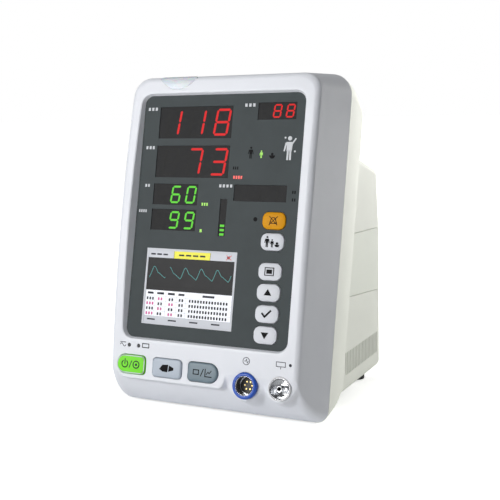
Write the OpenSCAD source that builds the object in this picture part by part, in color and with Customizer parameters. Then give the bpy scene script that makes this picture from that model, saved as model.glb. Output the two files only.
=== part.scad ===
// Compact vital-signs monitor: a leaning display slab on a box-shaped rear housing.
// Units are millimetres, +Z is up and the display faces -Y.
//
// Two frames are used.  The world frame stands on the feet.  The slab frame leans back with the
// display: x runs across, y goes into the case from the face plane, z runs up the face.

/* [Slab] */
// Backward lean of the display slab, in degrees
lean = 13.3; // [12:0.1:15]
// Half width of the face where the side bands start
face_half_w = 77.4; // [76:0.1:79]
// Height of the face's upper edge, along the slab
face_top = 246.5; // [245:0.5:248]
// Depth of the seam between front bezel and rear housing
seam_d = 39; // [38:0.5:40]
// Height of the slab at the seam, along the slab
seam_top = 255; // [253:0.5:256]
// Draft of the side bands, in degrees
side_draft = 14.5; // [14:0.1:15]
// Depth of the slab's rear face
slab_d = 72; // [71:0.5:74]
// How far the middle of the face stands forward of its ends
crown = 4; // [3:0.1:4.5]
// Radius of the slab's upper corners at the face
corner_r = 13.5; // [12:0.5:15]

/* [Chin] */
// Height at which the face starts to roll back
chin_top = 28; // [27:0.5:29]
// Height of the lowest point, at the seam
chin_low = -3.2; // [-3.4:0.1:-3]
// Fullness of the roll, 2 is an ellipse
chin_power = 1.6; // [1.5:0.05:1.8]

/* [Display panel] */
// Half width of the panel opening
panel_half_w = 67.3; // [66:0.1:68]
// Lower edge of the panel opening
panel_low = 47.4; // [47:0.1:48]
// Upper edge of the panel opening
panel_high = 232.9; // [232:0.1:234]
// Depth of the panel's surface below the face plane
panel_d = 2; // [1.8:0.1:2.2]
// Draft of the opening's walls, in degrees
recess_draft = 24; // [20:1:26]
// Across position of the column of rubber keys
key_column = 49.6; // [49:0.1:50]
// Width of a rubber key
rubber_key_w = 18.1; // [17.5:0.1:18.3]
// Height of a rubber key
rubber_key_h = 12.3; // [12:0.1:12.5]

/* [Front keys] */
// Width of a front key
front_key_w = 25; // [24:0.1:25.2]
// Height of a front key
front_key_h = 14.1; // [13.5:0.1:14.3]
// Height of the row of front keys
front_key_v = 26.7; // [26.4:0.1:27]

/* [Connectors] */
// Across position of the oxygen sensor socket
spo2_u = 37.5; // [37:0.1:38]
// Height of the oxygen sensor socket
spo2_v = 20.9; // [20.5:0.1:21.5]
// Bore radius of the oxygen sensor socket
spo2_bore_r = 6.5; // [6.3:0.1:6.6]
// Across position of the cuff hose connector
nibp_u = 64.5; // [64:0.1:65]
// Height of the cuff hose connector
nibp_v = 21.6; // [21:0.1:22]
// Outer radius of the cuff connector's nipple
nipple_r = 2.6; // [2.4:0.1:2.8]
// Spacing of the threaded inserts in the underside
insert_pitch = 75; // [70:1:75]

/* [Rear box] */
// Half width of the rear box
box_half_w = 83.5; // [83:0.1:84]
// Distance of the rear face from the slab's foot
box_rear = 171; // [170:0.5:172]
// Clearance under the box
box_low = 9.7; // [9.5:0.1:10]
// Height of the box's top where it leaves the slab
box_top_front = 191; // [190:0.5:192]
// Height of the box's top edge at the rear
box_top_rear = 177; // [176:0.5:178]
// Radius of the box's edges
box_r = 6; // [5:0.5:6.5]
// Number of ventilation slots on each side
vent_count = 22; // [18:1:24]

/* [Fits] */
// Wall thickness of the two case shells
wall = 2.6; // [2.4:0.1:2.8]
// Gap round each key
key_gap = 0.35; // [0.3:0.05:0.45]
// Travel of a rubber key
rubber_travel = 1.2; // [0.8:0.1:1.2]
// Travel of a front key
front_travel = 0.8; // [0.5:0.1:0.8]
// Radial clearance of a turning pin
running_gap = 0.05; // [0.02:0.01:0.08]

/* [Hidden] */
$fn = 48;
eps = 0.01;

// The slab's foot is lifted so that the feet stand on z = 0, and the case is centred in y.
slab_lift = 13.1;
y_centre = 86.1;

slice_t = 0.2;              // thickness of a hull slice
seam_gap = 0.3;             // open line between the two shells
recess_floor_t = 2;         // thickness of the display panel
lip = 2;                    // how far the display panel reaches behind the opening's edge

key_rows = [139.7, 124.5, 103.2, 88.2, 72.9, 57.9];
front_key_u = [-58.9, -27.4, 2.9];

// Windows of the display panel: left, right, low, high.
sys_win = [-53.3, 9.4, 199.8, 224.1];
dia_win = [-53.4, 9.3, 170, 194.3];
pr_win = [-53.6, -14.8, 149.1, 165.1];
spo2_win = [-53.6, -14.8, 129.7, 145.7];
temp_win = [15.3, 57.6, 153.2, 165.4];
map_win = [29.9, 60.6, 213.2, 225.9];
bar_win = [4.7, 10.4, 127, 154.5];
lcd_win = [-54.9, 22.1, 58.1, 115.8];

supply_lamp_u = [-61.8, -53.5];
supply_lamp_v = 41.1;
alarm_u = -38.5;            // middle of the alarm lens

board_t = 1.6;
display_board_d = 12;
key_board_d = 10;
chassis_d = 46;
main_board_d = 52;

door_y = [102, 160];         // ends of the battery door, from the slab's foot
door_z = [70, 120];
door_pin_r = 1;
door_barrel_r = 2.4;
door_pin_x = -box_half_w + door_barrel_r;
door_pin_z = door_z[0] + door_barrel_r;

pocket_half_w = 60;         // rear connector pocket
pocket_z = [18, 58];
pocket_depth = 14;
pocket_floor_t = 1.5;
panel_y = box_rear - pocket_depth - pocket_floor_t;
inlet_x = 34;
inlet_z = [21, 55];
network_x = -36;
network_z = 30;
stud_x = -4;
stud_z = 38;

pump_x = 46;
pump_z = 36;
valve_x = [30, 56];
valve_z = 74;

// ---- frames and outlines -------------------------------------------------------------------

module in_case() {
    translate([0, -y_centre, 0]) children();
}

module in_slab() {
    in_case() translate([0, 0, slab_lift]) rotate([-lean, 0, 0]) children();
}

function side_half_w(d) = face_half_w + tan(side_draft) * d;
function bulge(v) = max(0, 1 - pow((v - 138) / 110, 2));
function chin_v(d) = chin_top - (chin_top - chin_low)
    * pow(1 - pow(max(0, 1 - d / (seam_d + 1)), chin_power), 1 / chin_power);
function top_v(d) = face_top + (seam_top - face_top) * d / seam_d;
function low_corner_r(d) = 4 + 5 * d / seam_d;
function high_corner_r(d) = corner_r + 4 * d / seam_d;

// Underside and top of the rear rim, which roll in towards the slab's rear face.
rim_span = slab_d - 2 - seam_d;
function rim_t(d) = max(0, min(1, (d - seam_d) / rim_span));
function rim_low(d) = chin_low + tan(lean) * max(0, d - seam_d)
    + 8 * (1 - sqrt(1 - 0.97 * pow(rim_t(d), 2)));
function rim_high(d) = seam_top - 8 * pow(rim_t(d), 1.8);
function rim_half_w(d) = side_half_w(seam_d) - 1.5 * pow(rim_t(d), 2);

function arc_points(cx, cy, r, from, to, n = 8) =
    [for (i = [0:n]) let (a = from + (to - from) * i / n) [cx + r * cos(a), cy + r * sin(a)]];

// Rectangle with its own radius at the left and the right end.
function key_points(w, h, r_left, r_right) = concat(
    arc_points(w / 2 - r_right, h / 2 - r_right, r_right, 0, 90),
    arc_points(-w / 2 + r_left, h / 2 - r_left, r_left, 90, 180),
    arc_points(-w / 2 + r_left, -h / 2 + r_left, r_left, 180, 270),
    arc_points(w / 2 - r_right, -h / 2 + r_right, r_right, 270, 360)
);

// A plate in the slab frame with an outline seen from the front.
module slab_plate(u, v, d0, d1, points) {
    translate([u, d1, v]) rotate([90, 0, 0]) linear_extrude(d1 - d0) polygon(points);
}

module slab_round_plate(left, right, low, high, d0, d1, r) {
    slab_plate((left + right) / 2, (low + high) / 2, d0, d1,
        key_points(right - left, high - low, r, r));
}

module slab_block(left, right, low, high, d0, d1) {
    translate([left, d0, low]) cube([right - left, d1 - d0, high - low]);
}

// A cylinder along the depth of the slab.
module slab_rod(u, v, d0, d1, r) {
    translate([u, d0, v]) rotate([-90, 0, 0]) cylinder(r = r, h = d1 - d0);
}

module slab_slice(d, half_w, low, high, r_low, r_high) {
    for (side = [-1, 1]) {
        translate([side * (half_w - r_low), d, low + r_low])
            rotate([-90, 0, 0]) cylinder(r = r_low, h = slice_t, $fn = 28);
        translate([side * (half_w - r_high), d, high - r_high])
            rotate([-90, 0, 0]) cylinder(r = r_high, h = slice_t, $fn = 28);
    }
}

// ---- front bezel ---------------------------------------------------------------------------

bezel_slices = [0, 1.2, 3, 6, 10, 15, 21, 28, seam_d - slice_t];
edge_round = 1.2;

module bezel_outer() {
    hull() {
        for (d = bezel_slices)
            slab_slice(d, side_half_w(d) - (d == 0 ? edge_round : 0), chin_v(d),
                top_v(d) - (d == 0 ? edge_round : 0), low_corner_r(d), high_corner_r(d));
        for (v = [58:20:218])
            slab_block(-face_half_w - bulge(v) + edge_round, face_half_w + bulge(v) - edge_round,
                v, v + slice_t, -crown * bulge(v), -crown * bulge(v) + slice_t);
    }
}

module bezel_inner() {
    hull() {
        for (d = bezel_slices)
            slab_slice(d + wall, side_half_w(d) - wall + 0.6, chin_v(d) + 1.8,
                top_v(d) - wall + 0.5, low_corner_r(d), high_corner_r(d) - wall);
        slab_slice(seam_d + wall, side_half_w(seam_d) - wall, chin_low + wall,
            seam_top - wall, low_corner_r(seam_d), high_corner_r(seam_d) - wall);
        for (v = [78:40:198])
            slab_block(-face_half_w + wall, face_half_w - wall,
                v, v + slice_t, wall - crown * bulge(v), wall - crown * bulge(v) + slice_t);
    }
}

module panel_opening() {
    reach = crown + panel_d + 1;
    grow = reach * tan(recess_draft);
    hull() {
        slab_round_plate(-panel_half_w, panel_half_w, panel_low, panel_high,
            panel_d, panel_d + slice_t, 7);
        slab_round_plate(-panel_half_w - grow, panel_half_w + grow, panel_low - grow,
            panel_high + grow, panel_d - reach, panel_d - reach + slice_t, 7 + grow);
    }
}

module front_key_outline_cut(i) {
    grow = 2 * key_gap;
    slab_plate(front_key_u[i], front_key_v, -3, 12,
        key_points(front_key_w + grow, front_key_h + grow,
            (i == 0 ? front_key_h / 2 : 3) + key_gap, (i == 2 ? front_key_h / 2 : 3) + key_gap));
}

spo2_seat_d = 1.6;          // seats of the two socket rims
nibp_seat_d = 1;
key_post_u = [-43.1, -12.25];
key_post_r = 1.4;
bezel_post_u = 72.4;
bezel_post_v = [54, 138, 224];
case_screw_u = 66;
case_screw_v = 240;
lower_screw_x = 60;
lower_screw_y = 53;

module alarm_spindle(gap) {
    half_l = 16.5 + gap;
    swell = 9 + gap;
    n = 12;
    translate([alarm_u, 1, face_top - 1]) rotate([0, 90, 0])
        rotate_extrude($fn = 40) polygon(concat([[0, half_l], [0, -half_l]],
            [for (i = [1:n - 1]) let (t = -1 + 2 * i / n) [swell * (1 - t * t), half_l * t]]));
}

module front_bezel() {
    color("whitesmoke") in_slab() difference() {
        union() {
            difference() {
                bezel_outer();
                bezel_inner();
            }
            intersection() {
                bezel_outer();
                slab_block(-panel_half_w - 5, panel_half_w + 5, panel_low - 5, panel_high + 5,
                    -crown - 1, panel_d);
            }
            // raised pod of the front keys
            slab_round_plate(-77.4, 21.2, 15.7, 38, 0, 6, 6);
            // bosses of the two sockets
            slab_rod(spo2_u, spo2_v, spo2_seat_d, 14, 10.4);
            slab_rod(nibp_u, nibp_v, nibp_seat_d, 14, 9.6);
            // posts of the display board
            for (side = [-1, 1], v = bezel_post_v)
                slab_rod(side * bezel_post_u, v, panel_d - 2, display_board_d, 2.6);
            // upper posts of the case screws
            for (side = [-1, 1])
                slab_rod(side * case_screw_u, case_screw_v, 1, 58, 4);
        }
        panel_opening();
        // flat back of the pod, where the key flanges move, with the posts of the key board
        difference() {
            slab_block(-73.5, 18.5, 17.6, 37, 3, 14);
            for (u = key_post_u) slab_rod(u, front_key_v, 2, key_board_d, key_post_r);
        }
        for (i = [0:2]) front_key_outline_cut(i);
        for (u = supply_lamp_u) slab_rod(u, supply_lamp_v, -3, 8, 1.6);
        slab_rod(spo2_u, spo2_v, -3, 16, 7.9);
        slab_rod(spo2_u, spo2_v, -3, spo2_seat_d, 9.75);
        slab_rod(nibp_u, nibp_v, -3, 16, 7.9);
        slab_rod(nibp_u, nibp_v, -3, nibp_seat_d, 8.75);
        for (side = [-1, 1], v = bezel_post_v)
            slab_rod(side * bezel_post_u, v, display_board_d - 6, display_board_d + 1, 1.25);
        for (side = [-1, 1])
            slab_rod(side * case_screw_u, case_screw_v, 46, 59, 1.5);
        alarm_spindle(0.25);
    }
}

module alarm_lens() {
    color("white") in_slab() difference() {
        intersection() {
            bezel_outer();
            alarm_spindle(0);
        }
        translate([0, -0.8, -0.6]) bezel_inner();
    }
}

module alarm_lamp_board() {
    color("seagreen") in_slab() {
        front = display_board_d - board_t;
        slab_block(alarm_u - 14, alarm_u + 14, 228, 240.5, front, display_board_d);
        for (i = [-1:1])
            slab_block(alarm_u + 8 * i - 1.5, alarm_u + 8 * i + 1.5, 236, 239, front - 1.4, front);
    }
}

// ---- rear housing --------------------------------------------------------------------------

rim_depths = [seam_d + seam_gap, 46, 53, 60, 66, slab_d - 2];

module rim_outer() {
    in_slab() hull() {
        for (d = rim_depths)
            slab_slice(d, rim_half_w(d), rim_low(d), rim_high(d), 9 + 4 * rim_t(d), 17.5);
        slab_slice(slab_d - slice_t, rim_half_w(slab_d) - 2, rim_low(slab_d) + 2,
            rim_high(slab_d) - 2, 12, 16);
    }
}

module rim_inner() {
    in_slab() hull() {
        for (d = concat([seam_d - 3], rim_depths))
            slab_slice(min(d, slab_d - 2 - wall), rim_half_w(d) - wall, rim_low(d) + wall + 0.4,
                rim_high(d) - wall, 9, 15);
    }
}

// Corner centres of the box in side view, with the half width there.
box_corners = [
    [62, box_low + box_r, box_half_w],
    [box_rear - box_r, box_low + box_r, box_half_w],
    [box_rear - box_r, 128, box_half_w],
    [box_rear - box_r, box_top_rear - box_r, box_half_w - 2],
    [112, box_top_front + 2 - box_r, box_half_w - 2],
    [84, 128, box_half_w],
];

module box_solid(inset) {
    in_case() hull() for (c = box_corners, side = [-1, 1])
        translate([side * (c[2] - box_r), c[0], c[1]]) sphere(r = box_r - inset, $fn = 24);
}

// Side outline of the recorder bay cover, in world y and z.
bay_cover_outline = [[91.6, 84.1], [174, 75.9], [174, 128.1], [102.8, 131.1]];
bay_cover_left = 74;

module bay_cover_region(gap) {
    grown = [for (i = [0:3]) bay_cover_outline[i] + gap * [i == 0 || i == 3 ? -1 : 1, i < 2 ? -1 : 1]];
    in_case() translate([bay_cover_left - gap, 0, 0]) rotate([90, 0, 90])
        linear_extrude(20) polygon(grown);
}

module vent_slots() {
    pitch = 73 / (vent_count - 1);
    for (side = [-1, 1], i = [0:vent_count - 1])
        translate([side * box_half_w - 6, 86 + pitch * i, 23.7]) cube([12, 1.8, 17.5]);
}

front_foot_x = 40;
front_foot_y = 47;
front_foot_h = 2.1;
rear_foot_x = 66;
rear_foot_y = 158;
grip_half_w = 45;
grip_v = [212, 236];
grip_d = 50;

module rear_housing() {
    color("ivory") difference() {
        union() {
            difference() {
                union() {
                    rim_outer();
                    box_solid(0);
                }
                rim_inner();
                box_solid(wall);
            }
            // walls of the carrying grip
            in_slab() slab_block(-grip_half_w - 2, grip_half_w + 2, grip_v[0] - 2, grip_v[1] + 2,
                grip_d - 2, slab_d - 1);
            in_case() {
                // walls of the rear connector pocket
                translate([-pocket_half_w - 2, box_rear - pocket_depth - 1.5, pocket_z[0] - 2])
                    cube([2 * pocket_half_w + 4, pocket_depth + 0.5, pocket_z[1] - pocket_z[0] + 4]);
                // lugs of the door hinge
                for (y = [door_y[0] - 4.5, door_y[1] + 0.5])
                    translate([-box_half_w + 0.6, y, door_z[0] - 3]) cube([8, 4, 9]);
                // bosses of the threaded inserts and of the lower case screws
                for (x = [-1, 1], y = [75, 75 + insert_pitch])
                    translate([x * insert_pitch / 2, y, box_low + 0.5]) cylinder(r = 6, h = 8);
                for (side = [-1, 1])
                    translate([side * lower_screw_x, lower_screw_y, 2.5]) cylinder(r = 4.6, h = 12.5);
            }
        }
        in_slab() {
            slab_block(-grip_half_w, grip_half_w, grip_v[0], grip_v[1], grip_d, slab_d + 5);
            for (side = [-1, 1]) {
                slab_rod(side * case_screw_u, case_screw_v, slab_d - 8, slab_d + 1, 1.8);
                slab_rod(side * case_screw_u, case_screw_v, slab_d - 2.2, slab_d + 1, 3.4);
            }
        }
        in_case() {
            vent_slots();
            translate([-pocket_half_w, panel_y + pocket_floor_t, pocket_z[0]])
                cube([2 * pocket_half_w, pocket_depth + 6, pocket_z[1] - pocket_z[0]]);
            // openings of the connectors in the pocket's floor
            translate([inlet_x - 14.1, panel_y - 1, inlet_z[0] - 0.1])
                cube([28.2, 4, inlet_z[1] - inlet_z[0] + 0.2]);
            translate([network_x - 8.1, panel_y - 1, network_z - 0.1]) cube([16.2, 4, 14.2]);
            translate([stud_x, panel_y - 1, stud_z]) rotate([-90, 0, 0]) cylinder(r = 3.1, h = 4);
            // opening of the battery door
            translate([-box_half_w - 1, door_y[0] - 0.5, door_z[0] - 0.5])
                cube([5.6, door_y[1] - door_y[0] + 1, door_z[1] - door_z[0] + 1]);
            translate([door_pin_x, door_y[0] - 3.5, door_pin_z])
                rotate([-90, 0, 0]) cylinder(r = door_pin_r, h = door_y[1] - door_y[0] + 7);
            for (x = [-1, 1], y = [75, 75 + insert_pitch])
                translate([x * insert_pitch / 2, y, box_low - 1]) cylinder(r = 3, h = 9.5);
            for (side = [-1, 1]) {
                translate([side * lower_screw_x, lower_screw_y, -1]) {
                    cylinder(r = 1.8, h = 20);
                    cylinder(r = 3.6, h = 6.5);
                }
                translate([side * front_foot_x, front_foot_y, -1]) cylinder(r = 6, h = 1 + front_foot_h);
            }
            // sound holes of the loudspeaker
            for (ring = [0:2], k = [0:max(0, 6 * ring - 1)])
                translate([40 + 6 * ring * cos(60 * k / max(1, ring)), box_rear - 4,
                        112 + 6 * ring * sin(60 * k / max(1, ring))])
                    rotate([-90, 0, 0]) cylinder(r = 1.5, h = 8, $fn = 16);
        }
        bay_cover_region(0.4);
    }
}

module recorder_bay_cover() {
    color("honeydew") intersection() {
        difference() {
            box_solid(0);
            box_solid(wall);
        }
        bay_cover_region(0);
    }
}

module rubber_feet() {
    color("dimgray") in_case() {
        for (side = [-1, 1]) {
            translate([side * rear_foot_x, rear_foot_y, 0]) cylinder(r = 7, h = box_low);
            translate([side * front_foot_x, front_foot_y, 0]) cylinder(r = 6, h = front_foot_h);
        }
    }
}

module mount_inserts() {
    color("goldenrod") in_case() for (x = [-1, 1], y = [75, 75 + insert_pitch])
        translate([x * insert_pitch / 2, y, box_low]) difference() {
            cylinder(r = 3, h = 8.4);
            translate([0, 0, -1]) cylinder(r = 2, h = 9);
        }
}

// ---- battery -------------------------------------------------------------------------------

module battery_door() {
    length = door_y[1] - door_y[0];
    color("ivory") in_case() difference() {
        union() {
            translate([-box_half_w, door_y[0], door_pin_z])
                cube([wall, length, door_z[1] - door_pin_z]);
            translate([door_pin_x, door_y[0], door_pin_z])
                rotate([-90, 0, 0]) cylinder(r = door_barrel_r, h = length);
            // finger rib inside the upper edge
            translate([-box_half_w + wall - eps, door_y[0] + length / 2 - 12, door_z[1] - 5])
                cube([1.4, 24, 2]);
        }
        translate([door_pin_x, door_y[0] - 1, door_pin_z])
            rotate([-90, 0, 0]) cylinder(r = door_pin_r + running_gap, h = length + 2);
    }
}

module door_hinge_pin() {
    color("silver") in_case() translate([door_pin_x, door_y[0] - 3.4, door_pin_z])
        rotate([-90, 0, 0]) cylinder(r = door_pin_r, h = door_y[1] - door_y[0] + 6.8);
}

battery_box = [[-77, 105, 77.5], [-6, 157, 115.5]];

module battery_pack() {
    size = battery_box[1] - battery_box[0];
    color("steelblue") in_case() translate(battery_box[0]) {
        cube(size);
        // pull tab towards the door
        translate([-0.8, size[1] / 2 - 8, size[2] - 12]) cube([0.8, 16, 8]);
    }
}

module battery_tray() {
    grow = [1.8, 1.8, 1.8];
    size = battery_box[1] - battery_box[0];
    color("gainsboro") in_case() difference() {
        translate(battery_box[0] - [0, grow[1], grow[2]])
            cube([size[0] + 1.8, size[1] + 3.6, size[2] + 3.6]);
        translate(battery_box[0] - [1, 0.3, 0.3])
            cube([size[0] + 1.3, size[1] + 0.6, size[2] + 0.6]);
    }
}

// ---- display panel and modules -------------------------------------------------------------

module window_cut(w) {
    slab_block(w[0], w[1], w[2], w[3], panel_d - 1, panel_d + recess_floor_t + 1);
}

module front_panel() {
    grow = 2 * key_gap;
    color("dimgray") in_slab() difference() {
        slab_round_plate(-panel_half_w - lip, panel_half_w + lip, panel_low - lip,
            panel_high + lip, panel_d, panel_d + recess_floor_t, 7);
        for (w = [sys_win, dia_win, pr_win, spo2_win, temp_win, map_win, bar_win, lcd_win])
            window_cut(w);
        for (v = key_rows)
            slab_plate(key_column, v, 0, 8,
                key_points(rubber_key_w + grow, rubber_key_h + grow, 5, 5));
    }
}

module segment_module(w) {
    color("black") in_slab()
        slab_block(w[0] + 0.1, w[1] - 0.1, w[2] + 0.1, w[3] - 0.1, panel_d + 0.5, display_board_d);
}

module sys_display() {
    segment_module(sys_win);
}

module dia_display() {
    segment_module(dia_win);
}

module map_display() {
    segment_module(map_win);
}

module pr_display() {
    segment_module(pr_win);
}

module spo2_display() {
    segment_module(spo2_win);
}

module temp_display() {
    segment_module(temp_win);
}

module pulse_bargraph() {
    segment_module(bar_win);
}

module lcd_module() {
    color("lightgray") in_slab() union() {
        slab_block(lcd_win[0] + 0.1, lcd_win[1] - 0.1, lcd_win[2] + 0.1, lcd_win[3] - 0.1,
            panel_d + 0.5, 6);
        slab_block(lcd_win[0] - 2, lcd_win[1] + 2, lcd_win[2] - 2, lcd_win[3] + 2,
            panel_d + recess_floor_t, display_board_d);
    }
}

// Lamps behind the printed symbols: patient type, units, and the pulse and alarm marks.
lamp_places = [[26.9, 189], [35.2, 187.6], [43.9, 186], [15.2, 177.6], [17.5, 170.7],
    [-8.2, 150.2], [-9.8, 130.4], [34.5, 140.4]];

module icon_lamps() {
    color("lightgreen") in_slab() for (p = lamp_places)
        slab_block(p[0] - 1.5, p[0] + 1.5, p[1] - 1.5, p[1] + 1.5,
            panel_d + recess_floor_t + 0.2, display_board_d);
}

module display_board() {
    color("seagreen") in_slab() difference() {
        slab_round_plate(-75.4, 75.4, 49, 230, display_board_d, display_board_d + board_t, 3);
        for (side = [-1, 1], v = bezel_post_v)
            slab_rod(side * bezel_post_u, v, display_board_d - 1, display_board_d + 3, 1.6);
    }
}

// ---- keys ----------------------------------------------------------------------------------

rubber_front_d = 0.2;
rubber_flange_d = panel_d + recess_floor_t + 0.4;

module rubber_key(v) {
    in_slab() union() {
        slab_plate(key_column, v, rubber_front_d, rubber_flange_d + 0.1,
            key_points(rubber_key_w, rubber_key_h, 4.8, 4.8));
        slab_plate(key_column, v, rubber_flange_d, rubber_flange_d + 1,
            key_points(rubber_key_w + 2, rubber_key_h + 2, 5.8, 5.8));
        slab_rod(key_column, v, rubber_flange_d + 0.9, 8.2, 3);
    }
}

module key_alarm_silence() {
    color("orange") rubber_key(key_rows[0]);
}

module key_patient() {
    color("lightgray") rubber_key(key_rows[1]);
}

module key_menu() {
    color("lightgray") rubber_key(key_rows[2]);
}

module key_up() {
    color("lightgray") rubber_key(key_rows[3]);
}

module key_confirm() {
    color("lightgray") rubber_key(key_rows[4]);
}

module key_down() {
    color("lightgray") rubber_key(key_rows[5]);
}

front_key_d = -1.6;

module front_key(i) {
    r_left = i == 0 ? front_key_h / 2 - eps : 3;
    r_right = i == 2 ? front_key_h / 2 - eps : 3;
    in_slab() union() {
        slab_plate(front_key_u[i], front_key_v, front_key_d, 3.5,
            key_points(front_key_w, front_key_h, r_left, r_right));
        slab_plate(front_key_u[i], front_key_v, 3.4, 4.4,
            key_points(front_key_w + 1.6, front_key_h + 1.6, r_left, r_right));
        slab_rod(front_key_u[i], front_key_v, 4.3, 6.6, 3);
    }
}

module key_power() {
    color("yellowgreen") front_key(0);
}

module key_nibp() {
    color("lightsteelblue") front_key(1);
}

module key_trend() {
    color("slategray") front_key(2);
}

module key_switches() {
    color("dimgray") in_slab() {
        for (v = key_rows)
            slab_block(key_column - 3, key_column + 3, v - 3, v + 3,
                8.2 + rubber_travel + 0.3, display_board_d);
        for (u = front_key_u)
            slab_block(u - 3, u + 3, front_key_v - 3, front_key_v + 3,
                6.6 + front_travel + 0.3, key_board_d);
    }
}

module key_board() {
    color("seagreen") in_slab()
        slab_block(-72.5, 17.5, 19.6, 37, key_board_d, key_board_d + board_t);
}

module supply_lamps() {
    color("darkgreen") in_slab() for (u = supply_lamp_u)
        slab_rod(u, supply_lamp_v, -0.05, 8, 1.5);
}

// ---- oxygen sensor socket ------------------------------------------------------------------

insert_d = 6;
insert_r = spo2_bore_r - 0.3;

module spo2_flange() {
    color("royalblue") in_slab() translate([spo2_u, spo2_seat_d, spo2_v]) rotate([90, 0, 0])
        rotate_extrude() polygon(concat([[7.1, 0], [9.65, 0]],
            arc_points(7.75, 1.5, 1.9, 0, 90), [[7.1, 3.4]]));
}

module spo2_shell() {
    color("silver") in_slab() difference() {
        union() {
            slab_rod(spo2_u, spo2_v, -1.3, 1.7, 7.1);
            slab_rod(spo2_u, spo2_v, 1.6, 20, 7.8);
        }
        slab_rod(spo2_u, spo2_v, -2, insert_d, spo2_bore_r);
        slab_rod(spo2_u, spo2_v, insert_d - 1, 21, insert_r);
    }
}

module spo2_insert() {
    color("dimgray") in_slab() difference() {
        slab_rod(spo2_u, spo2_v, insert_d, 20, insert_r);
        for (k = [0:5]) contact_place(k) slab_rod(0, 0, insert_d - 1, 21, 0.6);
    }
}

module contact_place(k) {
    translate([spo2_u + 2.9 * cos(60 * k), 0, spo2_v + 2.9 * sin(60 * k)]) children();
}

module spo2_contacts() {
    color("gold") in_slab() for (k = [0:5]) contact_place(k)
        slab_rod(0, 0, insert_d + 0.1, 23, 0.6);
}

module hex_nut(u, v, d, bore_r) {
    difference() {
        translate([u, d, v]) rotate([-90, 0, 0]) cylinder(r = 10, h = 2.5, $fn = 6);
        slab_rod(u, v, d - 1, d + 4, bore_r);
    }
}

module socket_nuts() {
    color("silver") in_slab() {
        hex_nut(spo2_u, spo2_v, 14.1, 7.8);
        hex_nut(nibp_u, nibp_v, 14.1, 7.8);
    }
}

// ---- cuff hose connector -------------------------------------------------------------------

module nibp_rim() {
    color("white") in_slab() difference() {
        slab_rod(nibp_u, nibp_v, -0.7, nibp_seat_d, 8.65);
        slab_rod(nibp_u, nibp_v, -2, 2, 7.8);
    }
}

module nibp_cup() {
    color("silver") in_slab() difference() {
        slab_rod(nibp_u, nibp_v, -0.2, 18, 7.8);
        slab_rod(nibp_u, nibp_v, -1, 11, 7);
        slab_rod(nibp_u, nibp_v, 10, 19, nipple_r);
    }
}

module nibp_nipple() {
    color("silver") in_slab() difference() {
        union() {
            slab_rod(nibp_u, nibp_v, -0.5, 1.9, nipple_r);
            slab_rod(nibp_u, nibp_v, 1.8, 3.1, nipple_r - 0.6);
            slab_rod(nibp_u, nibp_v, 3, 26, nipple_r);
            slab_rod(nibp_u, nibp_v, 8.4, 11, nipple_r + 1);
        }
        slab_rod(nibp_u, nibp_v, -1, 27, 1.3);
    }
}

// ---- chassis and boards --------------------------------------------------------------------

base_z = 18.5;

// Sheet-metal base with the pedestals of the battery tray and the valve block.
module base_tray() {
    in_case() {
        translate([-76, 50.5, base_z]) cube([152, 101.5, 1.5]);
        translate([-75, 49.6, base_z]) cube([88, 4, 11]);
        for (x = [[-70, 24], [-26, 16]])
            translate([x[0], 147, base_z]) cube([x[1], 1.5, battery_box[0][2] - 1.8 - base_z]);
        for (x = [13, 69]) translate([x, valve_y - 6, base_z]) cube([4, 12, valve_z - 10 - base_z]);
        translate([13, valve_y - 6, valve_z - 11.5]) cube([60, 12, 1.5]);
    }
}

module chassis_plate() {
    color("gray") base_tray();
    color("gray") in_slab() difference() {
        union() {
            slab_block(-76, 76, 24, 206, chassis_d, chassis_d + 1.5);
            for (side = [-1, 1], v = [100, 196])
                slab_rod(side * 62, v, chassis_d + 1.4, main_board_d, 3);
            for (side = [-1, 1], v = [66, 190])
                slab_rod(side * 71, v, display_board_d + board_t + 0.2, chassis_d + 0.1, 3);
        }
        for (side = [-1, 1], v = [100, 196])
            slab_rod(side * 62, v, chassis_d - 1, main_board_d + 1, 1.25);
        // cable and hose way
        slab_block(-20, 20, 120, 150, chassis_d - 1, chassis_d + 3);
        slab_block(20, 72, 20, 58, chassis_d - 1, chassis_d + 3);
    }
}

module main_board() {
    color("seagreen") in_slab() difference() {
        union() {
            slab_block(-68, 68, 94, 202, main_board_d, main_board_d + board_t);
            slab_block(-20, 4, 140, 164, main_board_d + board_t, main_board_d + board_t + 2);
            slab_block(20, 34, 120, 134, main_board_d + board_t, main_board_d + board_t + 2);
        }
        for (side = [-1, 1], v = [100, 196])
            slab_rod(side * 62, v, main_board_d - 1, main_board_d + 3, 1.6);
    }
}

module spo2_board() {
    color("seagreen") in_slab() {
        slab_block(-66, -10, 40, 84, chassis_d - 8, chassis_d - 8 + board_t);
        slab_block(-62, -34, 46, 72, chassis_d - 8 + board_t, chassis_d);
    }
}

module board_screws() {
    color("silver") in_slab() {
        for (side = [-1, 1], v = bezel_post_v) {
            slab_rod(side * bezel_post_u, v, display_board_d + board_t,
                display_board_d + board_t + 1.8, 2.6);
            slab_rod(side * bezel_post_u, v, display_board_d - 5,
                display_board_d + board_t + 0.1, 1.25);
        }
        for (side = [-1, 1], v = [100, 196]) {
            slab_rod(side * 62, v, main_board_d + board_t, main_board_d + board_t + 1.8, 2.6);
            slab_rod(side * 62, v, main_board_d - 4, main_board_d + board_t + 0.1, 1.25);
        }
    }
}

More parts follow.
